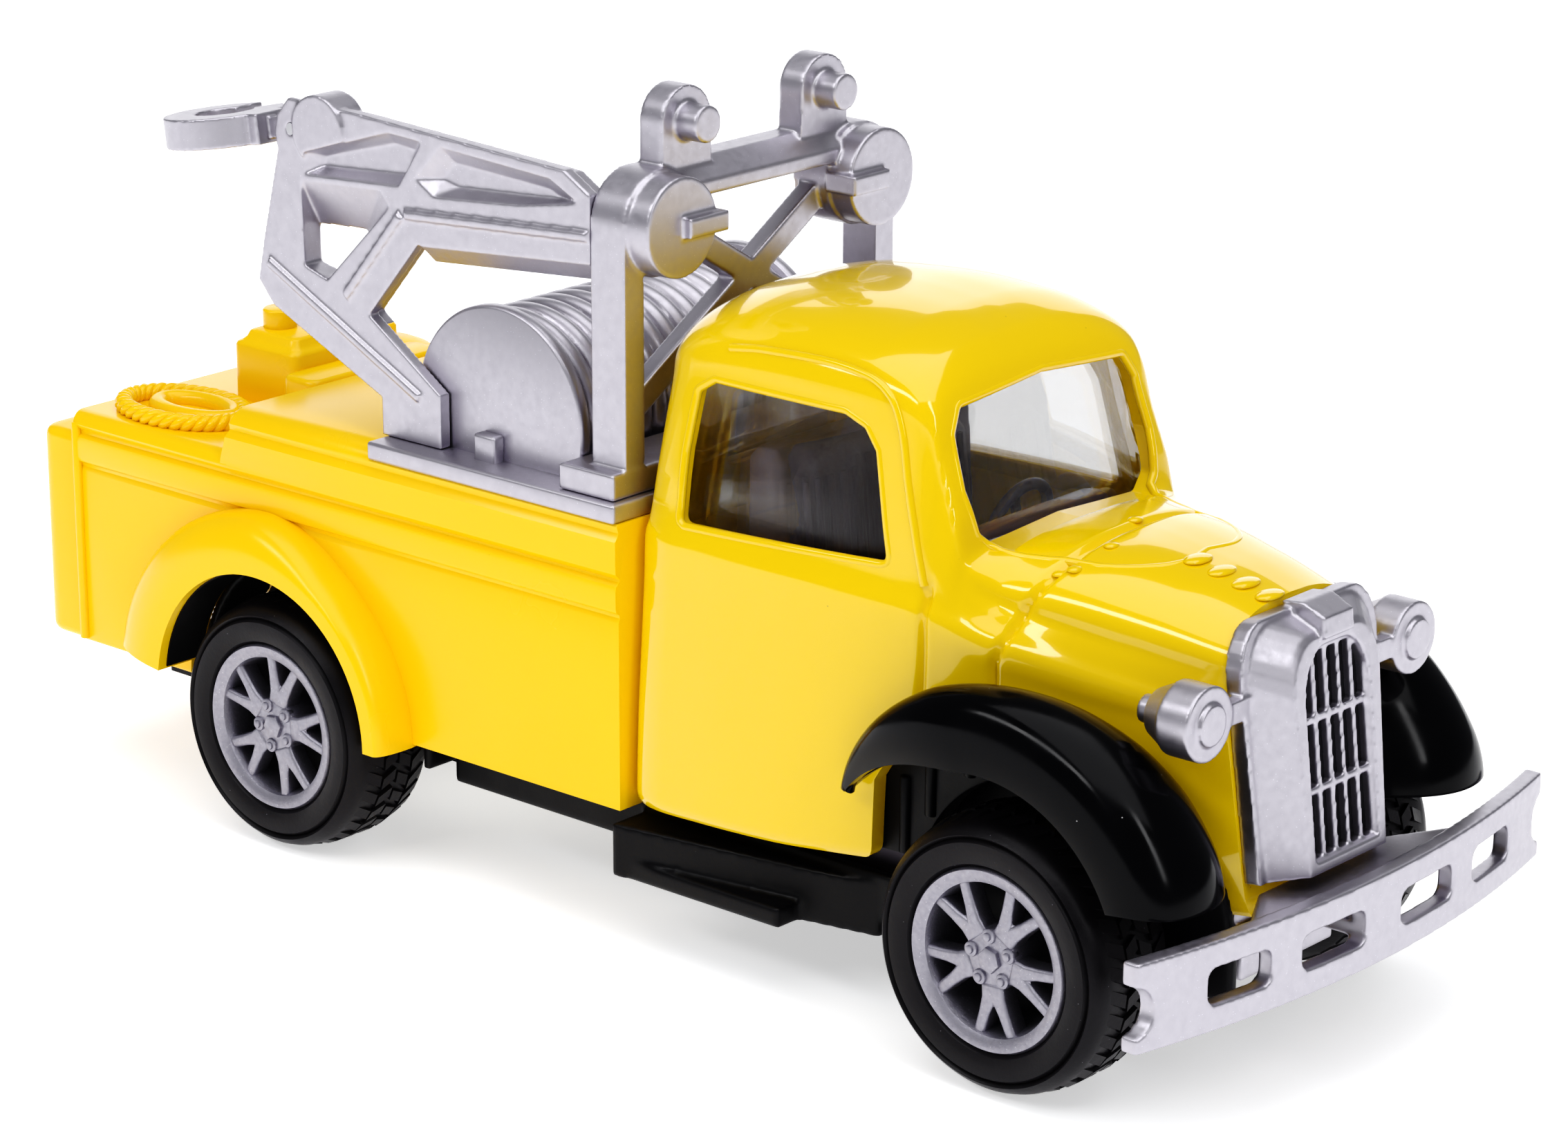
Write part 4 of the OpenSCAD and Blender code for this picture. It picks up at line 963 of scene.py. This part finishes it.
@dataclass
class FrontEnd:
    """Fenders, radiator grille with its lamps, and the bumper."""

    crest: float = 18.9
    lip: float = 13.0
    outer: float = 22.0
    wall: float = 1.0
    grille_foot: float = -18.4
    inner: Pairs = (
        (10, 10.5), (45, 10.6), (60, 11.2), (75, 12.3), (90, 13.7), (104, 14.9), (130, 16.7),
        (160, 17.6),
    )

    def ring(self, a: float) -> list[Point]:
        """Returns one section of the right fender at an angle in degrees."""
        y0 = float(np.interp(a, *zip(*self.inner)))
        back = max(a - 100, 0) / 56
        y1 = self.outer - 3.4 * back**2
        r0 = self.lip + 4.2 * back**1.4
        r1 = self.crest - 1.1 * max(a - 110, 0) / 46 - 0.5 * (max(30 - a, 0) / 13) ** 2
        mid = y0 + (y1 - y0) * 0.58

        def side(low: float, high: float, inner: float, outer: float) -> list[Pair]:
            """Returns one side of the sheet as radius and half width, from outside inwards."""
            line = []
            for degrees in range(0, 181, 5):
                t = math.radians(degrees)
                reach, power = (outer - mid, 0.5) if degrees < 90 else (mid - inner, 1.2)
                rise = max(math.sin(t), 0.0) ** power
                line.append((low + (high - low) * rise, mid + reach * math.cos(t)))
            return line

        shape = side(r0, r1, y0, y1)
        shape += side(r0 - 0.02, r1 - self.wall, y0 + self.wall, y1 - self.wall)[::-1]
        out = []
        curl = 7 * max(41 - a, 0) / 24
        for r, y in shape:
            turn = math.radians(a + curl * (self.crest - r) / (self.crest - self.lip))
            x, z = arc(FENDER_CENTRE, r, [turn])[0]
            out.append((x, -y, z))
        return out

    def slot_shade_plate(self) -> Thing:
        """Makes the black plate that paints the shade in the grille's slots: it shows as their dark
        floor.
        """
        plate = Mould().block((1.9, -4.0, 1.4), (2.75, 4.0, 16.6)).cast("grille_slot_shade_plate")
        lean = Matrix.Rotation(-LEAN, 4, "Y") @ Matrix.Translation((0, 0, self.grille_foot * MM))
        plate.data.transform(Matrix.Translation((NOSE[0] * MM, 0, NOSE[1] * MM)) @ lean)
        return plate

    def build(self, looks: Finishes) -> None:
        """Builds the fenders, the grille and the bumper."""
        angles = np.concatenate([np.arange(17, 30, 1), np.arange(30, 156.1, 2)])
        for side, name in ((1, "fender_right"), (-1, "fender_left")):
            rings = np.array([self.ring(a) for a in angles]) * (1, side, 1)
            piece = smooth(ease_edges(Mould().loft(rings).cast(name), 0.18, 50))
            install(piece, looks.black_gloss, [f"front_{name}"])
        # The black plate is painted shade in the grille's slots.
        install(self.slot_shade_plate(), looks.black_matt)
        for node, name, voxel, passes in (
            ("radiator_grille", "grille_and_lamps", 0.15, 3),
            ("front_bumper", "bumper_bar", 0.16, 9),
        ):
            install_soft(node, name, voxel, passes, looks.silver)


# ---------- bed ----------


@dataclass
class Bed:
    """The moulded bed with its rear fenders, rope coil, toolbox and filler cap.

    Angles of the fender are degrees from straight ahead, round the wheel arch. The trim of the
    sides is inset and z, a ring of the toolbox is z, inset and corner radius, the cap is radius
    and z, and a screw post is x, y and its top.
    """

    rear_x: float = -60.4
    step_x: float = -41.2
    crane_x: float = -23.05
    front_x: float = 4.9
    half_width: float = 18.5
    low: float = 33.0
    high: float = 37.0
    ledge: float = 35.8
    wall: float = 1.5
    tail: Four = (-66.2, 17.4, 11.3, 30.5)
    arch: Pair = (-33.5, 11.5)
    arch_r: float = 12.7
    arch_in: float = 11.2
    fender_out: float = 22.0
    fender_end: float = 173.0
    fender: Pairs = (
        (-20, 14.6), (10, 14.8), (48, 14.9), (65, 15.4), (80, 16.4), (94, 17.3), (108, 17.7),
        (125, 18.3), (140, 18.8), (160, 19.5), (200, 20.2),
    )
    coil: Four = (-52.2, -12.5, 6.5, 4.0)
    trim: Pairs = (
        (0.35, 11.8), (0.35, 27.6), (0.5, 28.0), (0.42, 28.3), (0.1, 28.55), (0, 28.9), (0, 30.3),
        (0.1, 30.7), (0.45, 31.0), (0.5, 31.2), (0.3, 31.45), (0.05, 31.7),
    )
    upper_trim: Pairs = ((0, 32.4), (0, 34.4), (0.3, 34.8), (0.42, 35.05), (0.3, 35.35))
    notch: Pairs = ((-44.7, -8), (-40.5, -8), (-40.5, 8), (-44.7, 8))
    box: Four = (-53, -44.9, -6, 6)
    box_rings: tuple[Point, ...] = (
        (32.0, 0.0, 1.0), (37.9, 0.0, 1.0), (38.15, 0.12, 0.95), (38.3, 0.4, 0.9),
        (38.6, 0.75, 0.8), (39.15, 1.0, 0.7), (39.3, 1.4, 0.6),
    )
    cap_at: Pair = (-52.6, 12.4)
    cap: Pairs = (
        (4.4, 32.5), (4.4, 33.6), (4.25, 33.95), (3.8, 34.25), (2.6, 34.75), (1.0, 35.0),
        (0.95, 36.1), (0.75, 36.35), (0.1, 36.4),
    )
    screw_posts: tuple[Point, ...] = ((-53, 0, 31.8), (-3.5, 0, 34.6))

    def section(self, x: float, top: float, r: float, crop: float = 99.0) -> list[Point]:
        """Returns a closed section of the bed with its mouldings and rounded shoulders.

        Args:
            x: Where the section is.
            top: Height of the deck.
            r: Radius of the shoulder.
            crop: Height at which the section is cut off flat.

        Returns:
            The points of the section.
        """
        w = self.half_width
        upper = self.upper_trim if r > 1.5 else ((0, top - r + 0.1),)
        half = [(w - inset, z) for inset, z in (*self.trim, *upper)]
        half += arc((w - 0.1 - r, top - r), r, np.radians(np.arange(18, 91, 12)))
        half = [(y, min(z, crop)) for y, z in half]
        return [(x, -y, z) for y, z in half] + [(x, y, z) for y, z in half[::-1]]

    def decks(self) -> list[Thing]:
        """Makes the low deck, the high deck with its sloping step, the tail, and the notch."""
        low = [self.section(x, self.low, 1.2) for x in (self.rear_x, self.step_x + 1)]
        slope = (self.high - self.low + 1.2) / 1.7
        step = self.section(self.step_x, self.high, 2.0)
        high = [
            [(x + max(z - self.low + 1, 0) / slope, y, z) for x, y, z in step],
            self.section(self.crane_x - 0.01, self.high, 2.0),
            self.section(self.crane_x, self.high, 2.0, self.ledge),
            self.section(self.front_x, self.high, 2.0, self.ledge),
        ]
        x0, w, z0, z1 = self.tail
        x1 = self.rear_x + 0.5
        tail = rounded([(x1, -w), (x1, w), (x0, w), (x0, -w)], 1.9, 8)
        notch = rounded(self.notch, 1.2)
        return [
            ease_edges(Mould().loft(low).cast("low_deck"), 0.35, 50, 3),
            ease_edges(Mould().loft(high).cast("high_deck"), 0.4, 50, 3),
            ease_edges(Mould().prism(tail, 2, z0, z1).cast("tail"), 0.9, 50, 4),
            ease_edges(Mould().prism(notch, 2, 32, self.high).cast("notch"), 0.5, 50, 3),
        ]

    def ribs(self) -> Thing:
        """Makes the upright ribs where the bed's sides meet the tail."""
        mould = Mould()
        x = self.rear_x + 0.3
        for side in (-1, 1):
            y = side * (self.half_width - 0.3)
            mould.rod((x, y, 12), (x, y, 32), 0.45, 12)
        return mould.cast("corner_ribs")

    def sweep(self, degrees: Iterable[float], line: Callable[[float], Flat]) -> Mould:
        """Sweeps a section round both rear wheel arches.

        Args:
            degrees: Angles round the arch.
            line: Gives the section at an angle, as radius and half width.

        Returns:
            The mould with both sweeps.
        """
        mould = Mould()
        for side in (-1, 1):
            rings = []
            for a in degrees:
                t = [math.radians(a)]
                places = [(*arc(self.arch, r, t)[0], y) for r, y in line(a)]
                rings.append([(x, side * y, z) for x, z, y in places])
            mould.loft(rings)
        return mould

    def flare(self, a: float) -> list[Pair]:
        """Returns the section of a rear fender at an angle in degrees."""
        edge, inner = self.half_width - 0.2, self.half_width - 1.5
        low, lip = self.arch_r - 0.7, self.arch_r + 1.2
        high = float(np.interp(a, *zip(*self.fender)))
        line = [(low, inner), (low, self.fender_out)]
        for t in np.radians(np.linspace(0, 90, 16)):
            reach = max(math.cos(t), 0.0) ** 0.7
            r = lip + (high - lip) * math.sin(t) ** 1.1
            line.append((r, edge + (self.fender_out - edge) * reach))
        return [*line, (high - 0.2, inner)]

    def liners(self) -> Thing:
        """Makes the black linings of the rear wheel arches."""
        low, high = self.arch_r - 0.15, self.arch_r + 0.35
        section = ((low, 17), (low, 21.1), (high, 21.1), (high, 17))
        mould = self.sweep(np.linspace(2, self.fender_end - 1, 72), lambda a: section)
        return smooth(mould.cast("rear_arch_lining"))

    def cutters(self) -> list[Thing]:
        """Makes the tools that hollow the bed and open its wheel arches."""
        inner, narrow = self.half_width - 1.8, self.half_width - 3.4
        x0, w, _, _ = self.tail
        rear, front = self.step_x - self.wall, self.front_x - self.wall
        tools = [
            Mould().block((lo, -half, 5), (hi, half, top)).cast("bed_tool")
            for lo, hi, half, top in (
                (self.rear_x + self.wall, rear, inner, self.low - self.wall),
                (rear - 1, front, inner, 32),
                (self.step_x + 1, front, narrow, 34.3),
                (x0 + self.wall, self.rear_x - 1, w - self.wall, 29),
            )
        ]
        ring = arc(self.arch, self.arch_r, around(96))
        for side in (-1, 1):
            ends = sorted((side * self.arch_in, side * 30))
            tools.append(Mould().prism(ring, 1, *ends).cast("arch_tool"))
        return tools

    def rope(self) -> Thing:
        """Makes the coil: an outer turn of laid rope, and an inner turn of smooth cord."""
        x0, y0, rx, ry = self.coil
        mould = Mould()
        turns, strands, offset = 12, 3, 0.42
        for k in range(strands):
            path = []
            for u in around(420):
                out = Vector((ry * math.cos(u), rx * math.sin(u), 0)).normalized()
                lay = turns * u + math.tau * k / strands
                centre = Vector((x0 + rx * math.cos(u), y0 + ry * math.sin(u), self.low + 0.5))
                path.append(centre + offset * (math.cos(lay) * out + Vector((0, 0, math.sin(lay)))))
            mould.tube(path, 0.44, 8)
        x1, y1, z = x0 + 0.6, y0 + 0.9, self.low + 0.3
        circle = arc((0, 0), 1, around(90))
        ring = [(x1 + (rx - 2.1) * c, y1 + (ry - 1.7) * s, z) for c, s in circle]
        return mould.tube(ring, 0.85, 14).cast("rope_coil")

    def toolbox(self) -> Thing:
        """Makes the toolbox with its lid and knob."""
        x0, x1, y0, y1 = self.box
        rings = []
        for z, d, r in self.box_rings:
            corners = [(x0 + d, y0 + d), (x1 - d, y0 + d), (x1 - d, y1 - d), (x0 + d, y1 - d)]
            rings.append([(*p, z) for p in rounded(corners, r, 8)])
        box = Mould().loft(rings).rod((-50.4, -2.6, 39), (-50.4, -2.6, 41), 1.5, 32)
        return ease_edges(box.cast("toolbox"), 0.12, 40)

    def filler_cap(self) -> Thing:
        """Makes the filler cap with its knob."""
        rings = [[(*p, z) for p in arc(self.cap_at, r, around(56))] for r, z in self.cap]
        return Mould().loft(rings).cast("filler_cap")

    def build(self, looks: Finishes) -> None:
        """Builds the bed."""
        moulding, *others = self.decks()
        flares = self.sweep(np.linspace(0, self.fender_end, 88), self.flare).cast("rear_fenders")
        combine(moulding, [*others, flares], Use.ADD)
        combine(moulding, self.cutters(), Use.CUT)
        posts = Mould()
        for x, y, top in self.screw_posts:
            posts.rod((x, y, 7.3), (x, y, top), 2.2, 24)
        pieces = [smooth(moulding, 32), smooth(self.ribs()), smooth(posts.cast("posts"))]
        pieces += [smooth(self.rope(), 60), smooth(self.toolbox()), smooth(self.filler_cap())]
        install(join("bed_moulding", pieces), looks.abs_yellow, ["truck_bed"])
        install(self.liners(), looks.black_matt)


# ---------- crane ----------


@dataclass
class Crane:
    """Base plate with the winch drum, mast, boom and hook."""

    top: float = 37.4
    sunk: float = 0.5
    plate: Four = (-23.0, 4.8, 18.6, 35.8)
    centre: Pair = (-11.0, 40.9)
    flange_r: float = 9.3
    flange_t: float = 1.2
    length: float = 30.4
    turns: int = 15

    def disc(self, y0: float, y1: float) -> list[list[Point]]:
        """Returns the rings of a flange that ends in the plate, with eased rims."""
        rims = ((0, 0.3), (0.08, 0.1), (0.28, 0))
        rows = [(y0 + d, self.flange_r - cut) for d, cut in rims]
        rows += [(y1 - d, self.flange_r - cut) for d, cut in rims[::-1]]
        return [self.section(y, lambda t, r=r: r) for y, r in rows]

    def section(self, y: float, radius: Callable[[float], float]) -> list[Point]:
        """Returns one upright section of the drum, cut off inside the plate."""
        floor = self.top - self.sunk
        low = math.asin((self.centre[1] - floor) / self.flange_r)
        turns = np.linspace(-low, math.pi + low, 72)
        places = [arc(self.centre, radius(t), [t])[0] for t in turns]
        return [(x, y, max(z, floor)) for x, z in places]

    def base(self) -> Thing:
        """Makes the plate, the lugs and the drum with its helical cable."""
        x0, x1, w, z0 = self.plate
        half = self.length / 2
        plain = Mould().block((x0, -w, z0), (x1, w, self.top))
        for s in (-1, 1):
            y = sorted((s * (half + 1.2), s * (half - 0.1)))
            plain.block((-12.8, y[0], self.top - self.sunk), (-10.4, y[1], self.top + 2.2))
        plate = ease_edges(plain.cast("crane_plate"), 0.3, rows=3)
        pitch = (self.length - 2 * self.flange_t) / self.turns
        core = self.flange_r - 1.4
        end = half - self.flange_t

        def wound(t: float, y: float) -> float:
            """Returns the radius over the cable at an angle and a place along the drum."""
            phase = ((y + half) / pitch + t / math.tau) % 1
            return core + math.sqrt(max(0.25 - (phase - 0.5) ** 2, 0.0)) * pitch * 0.98

        places = np.linspace(-end - 0.1, end + 0.1, self.turns * 14)
        drum = Mould().loft(self.disc(-half, -end)).loft(self.disc(end, half))
        drum.loft([self.section(y, partial(wound, y=y)) for y in places])
        return join("winch_base", [smooth(plate), smooth(drum.cast("drum"), 50)])

    def build(self, looks: Finishes) -> None:
        """Builds the crane's pieces."""
        install(self.base(), looks.silver, ["crane_base"])
        for node, name, voxel, body in (
            ("mast_frame", "mast", 0.17, "truck"),
            ("boom_frame", "boom", 0.15, "truck"),
            ("tow_hook", "hook", 0.12, "hook"),
        ):
            install_soft(node, name, voxel, 3, looks.silver, body)


# ---------- wheels ----------


@dataclass
class Wheel:
    """A rubber tyre on a silver rim with twin spokes.

    Profiles are drawn as radius and depth in from the wheel's outer face. A lane of tread is
    its two depths and the slant of its blocks.
    """

    x: float
    side: int
    name: str
    body: str
    turn: float
    radius: float = 11.0
    width: float = 9.6
    seat: float = 7.3
    face_y: float = 22.0
    tread: float = 0.35
    lanes: tuple[Point, ...] = (
        (1.25, 3.1, 0.9), (3.35, 4.7, -0.7), (4.95, 6.3, 0.7), (6.55, 8.4, -0.9),
    )

    def spin(self, profile: Flat, n: int = 120) -> Mould:
        """Turns a closed profile round the axle."""
        rings = []
        for c, s in arc((0, 0), 1.0, around(n)):
            rings.append([(r * c, d - self.face_y, r * s) for r, d in profile])
        return Mould().loft(rings, loop=True)

    def tread_lane(self, k: int, finish: Material) -> Thing:
        """Makes one lane of slanting blocks round the tyre."""
        base = self.radius - self.tread
        d0, d1, slant = self.lanes[k]
        rings = []
        for depth, skew in ((d0, -slant / 2), (d1, slant / 2)):
            shoulder = depth in (self.lanes[0][0], self.lanes[-1][1])
            top = self.radius - (0.45 if shoulder else 0.0)
            ring = []
            for along, high in ((-0.65, base - 0.3), (0.65, base - 0.3), (0.53, top), (-0.53, top)):
                t = (skew + 0.45 * k + along) / base
                ring.append((high * math.sin(t), depth - self.face_y, high * math.cos(t)))
            rings.append(ring)
        return repeat(Mould().loft(rings).cast("tread_block"), Repeat.WHEEL, 36, finish=finish)

    def tyre(self, finish: Material) -> Thing:
        """Makes the tyre with its grooved side wall and tread blocks."""
        r, w, base = self.radius, self.width, self.radius - self.tread
        profile = [
            (self.seat, 0.6), (self.seat + 0.25, 0.25), (self.seat + 0.7, 0.12), (r - 2.3, 0.0),
            (r - 1.75, 0.04), (r - 1.62, 0.2), (r - 1.5, 0.42), (r - 1.36, 0.2), (r - 1.2, 0.1),
            (r - 0.95, 0.3), (r - 0.6, 0.75), (base - 0.02, 1.35), (base, 2.2), (base, w - 2.2),
            (base - 0.3, w - 0.9), (r - 1.4, w - 0.1), (r - 2.4, w), (self.seat, w - 0.3),
        ]
        carcass = smooth(self.spin(profile, 144).cast("carcass"), 35)
        blocks = [self.tread_lane(k, finish) for k in range(len(self.lanes))]
        return self.place(join(f"tyre_{self.name}_dressed", [carcass, *blocks]))

    def spoke(self) -> Mould:
        """Draws one forked spoke round the origin, pointing along X."""
        half = [(1.9, 1.05), (3.0, 1.08), (4.2, 1.42), (5.4, 1.85), (6.6, 2.35)]
        half += [(6.7, 1.4), (5.6, 0.9), (4.4, 0.42), (3.6, 0.0)]
        outline = [(u, -v) for u, v in half] + half[-2::-1]
        return Mould().loft([[(u, d - self.face_y, v) for u, v in outline] for d in (0.75, 2.6)])

    def bosses(self, x: float, sizes: Iterable[tuple[float, float, float, int]]) -> Mould:
        """Draws rods that lie the axle's way, one over the other.

        Args:
            x: Their distance from the axle.
            sizes: Each rod's outer and inner depth, radius and number of sides.

        Returns:
            The mould.
        """
        mould = Mould()
        for d0, d1, r, n in sizes:
            mould.rod((x, d0 - self.face_y, 0), (x, d1 - self.face_y, 0), r, n)
        return mould

    def rim(self, finish: Material) -> Thing:
        """Makes the rim with its dish, spokes, hub, nuts and cap."""
        s, w = self.seat, self.width
        profile = [
            (s - 1.35, 1.0), (s - 1.2, 0.6), (s - 0.7, 0.3), (s - 0.2, 0.25), (s, 0.55),
            (s, w - 0.6), (s - 1.4, w - 0.6), (s - 1.9, 5.2), (s - 1.45, 1.6),
        ]
        hub = self.bosses(0, ((0.85, w - 0.3, 2.45, 48), (0.45, 1.5, 1.05, 6)))
        nuts = self.bosses(1.85, ((0.62, 1.5, 0.62, 18), (0.4, 1.5, 0.34, 12)))
        spokes = ease_edges(self.spoke().cast("spoke"), 0.28, 30, 3)
        spokes = repeat(spokes, Repeat.WHEEL, 5, finish=finish)
        ring = repeat(nuts.cast("nut"), Repeat.WHEEL, 5, finish=finish)
        ring.data.transform(Matrix.Rotation(math.pi / 5, 4, "Y"))
        parts = [smooth(self.spin(profile).cast("barrel"), 35), smooth(hub.cast("hub"))]
        parts += [smooth(spokes, 35), smooth(ring)]
        return self.place(join(f"rim_{self.name}_dressed", parts))

    def shade_disc(self) -> Thing:
        """Makes the dark disc behind the spokes: a black sheet that paints the shade in the rim's
        dish.
        """
        edge = self.seat - 1.7
        disc = self.spin([(1.2, 5.0), (edge, 5.0), (edge, 5.8), (1.2, 5.8)], 72)
        return self.place(smooth(disc.cast(f"wheel_shade_disc_{self.name}"), 35))

    def place(self, thing: Thing) -> Thing:
        """Turns a wheel piece to its spoke angle and moves it to its axle and side."""
        thing.data.transform(Matrix.Rotation(math.radians(-self.turn), 4, "Y"))
        if self.side > 0:
            thing.data.transform(Matrix.Rotation(math.pi, 4, "Z"))
        thing.data.transform(Matrix.Translation((self.x * MM, 0, self.radius * MM)))
        return thing

    def build(self, looks: Finishes) -> None:
        """Builds the wheel's pieces."""
        install(self.tyre(looks.rubber), looks.rubber, [f"tyre_{self.name}"], self.body)
        rim = self.rim(looks.rim_silver)
        install(rim, looks.rim_silver, [f"rim_{self.name}"], self.body)
        # The black disc is painted shade behind the spokes.
        install(self.shade_disc(), looks.black_matt, body=self.body)


# ---------- underside and motor ----------


@dataclass
class Underside:
    """The chassis, and the screws, axles and parts of the motor that stay as they are."""

    steel: tuple[str, ...] = (
        "hook_pin", "front_axle", "rear_axle", "barrel_arbor", "mainspring", "chassis_screws",
    )
    nylon: tuple[str, ...] = (
        "axle_gear", "spring_barrel", "motor_case_right", "motor_case_left",
    )

    def build(self, looks: Finishes) -> None:
        """Softens the chassis and gives the hidden nodes their materials."""
        install_soft("chassis", "chassis_moulding", 0.28, 2, looks.black_matt)
        for nodes, finish in ((self.steel, looks.steel), (self.nylon, looks.nylon)):
            for node in nodes:
                mesh = NODES[node].data
                mesh.materials.clear()
                mesh.materials.append(finish)


# ---------- studio ----------


@dataclass
class Studio:
    """Pale floor, soft lights and the camera. Places and sizes of the lamps are metres."""

    eye: Point = (240.7, -269.3, 142.0)
    azimuth: float = 41.02
    elevation: float = 17.68
    roll: float = 0.21
    focal_px: float = 6629.0
    frame_px: tuple[int, int] = (2268, 1645)
    sensor: float = 36.0
    aim: Point = (0, 0, 0.03)
    # A slight toe keeps the blacks deep, as a camera's own response does.
    toe: Pairs = ((0.05, 0.018), (0.16, 0.135), (0.4, 0.41))
    lamps: tuple[tuple[str, Point, Pair, float], ...] = (
        ("top_box", (0.15, -0.1, 1.1), (1.3, 1.3), 10),
        ("side_box", (-0.25, -0.8, 0.75), (0.9, 0.16), 3.2),
        ("back_box", (-0.8, 0.95, 0.42), (1.5, 0.8), 4.5),
        ("front_box", (0.85, -0.25, 0.6), (0.14, 0.6), 1.8),
    )

    def camera(self) -> None:
        """Sets up the camera."""
        a, e, roll = (math.radians(v) for v in (self.azimuth, self.elevation, self.roll))
        ahead = Vector((-math.sin(a) * math.cos(e), math.cos(a) * math.cos(e), -math.sin(e)))
        across = ahead.cross(Vector((0, 0, 1))).normalized()
        up = across.cross(ahead)
        right = math.cos(roll) * across + math.sin(roll) * up
        above = -math.sin(roll) * across + math.cos(roll) * up
        data = bpy.data.cameras.new("camera")
        data.sensor_width = self.sensor
        data.lens = self.focal_px / self.frame_px[0] * self.sensor
        data.clip_start, data.clip_end = 0.01, 20
        eye = link("camera", data)
        turn = Matrix((right, above, -ahead)).transposed().to_4x4()
        eye.matrix_world = Matrix.Translation(Vector(self.eye) * MM) @ turn
        bpy.context.scene.camera = eye

    def light(self) -> None:
        """Hangs the soft rectangular lights, each facing the truck, and lights the room."""
        for name, place, size, power in self.lamps:
            data = bpy.data.lights.new(name, "AREA")
            data.shape = "RECTANGLE"
            data.size, data.size_y = size
            data.energy = power
            lamp = link(name, data)
            lamp.location = place
            ahead = Vector(self.aim) - Vector(place)
            lamp.rotation_euler = ahead.to_track_quat("-Z", "Y").to_euler()
        world = bpy.data.worlds.new("room")
        world.use_nodes = True
        sky = world.node_tree.nodes["Background"].inputs
        sky["Color"].default_value = hex_linear("#F4F6FA")
        sky["Strength"].default_value = 0.25
        bpy.context.scene.world = world

    def build(self) -> None:
        """Builds the studio."""
        self.camera()
        floor = Mould().block((-4000, -4000, -20), (4000, 4000, 0)).cast("floor")
        paper = Finish(
            "matt_paper", "#F6F6F7", "#F8F8F9", 0.9, 0.95, drift=300, grain=2, depth=0.002,
            shine=0.0, glow=0.5,
        )
        floor.data.materials.append(paper.build())
        self.light()
        view = bpy.context.scene.view_settings
        view.view_transform = "Standard"
        view.use_curve_mapping = True
        for at, value in self.toe:
            view.curve_mapping.curves[3].points.new(at, value)
        view.curve_mapping.update()


def main() -> None:
    """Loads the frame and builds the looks."""
    logging.basicConfig(level=logging.INFO, format="%(message)s")
    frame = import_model()
    NODES.update(frame["nodes"])
    Studio().build()
    looks = Finishes()
    for part in (Cab(), FrontEnd(), Bed(), Crane()):
        part.build(looks)
    for x, end, turn in ((FRONT_AXLE[0], "front", -13.0), (REAR_AXLE[0], "rear", 6.0)):
        for side, hand in ((-1, "right"), (1, "left")):
            Wheel(x, side, f"{end}_{hand}", f"{end}_wheels", turn).build(looks)
    Underside().build(looks)


if __name__ == "__main__":
    main()
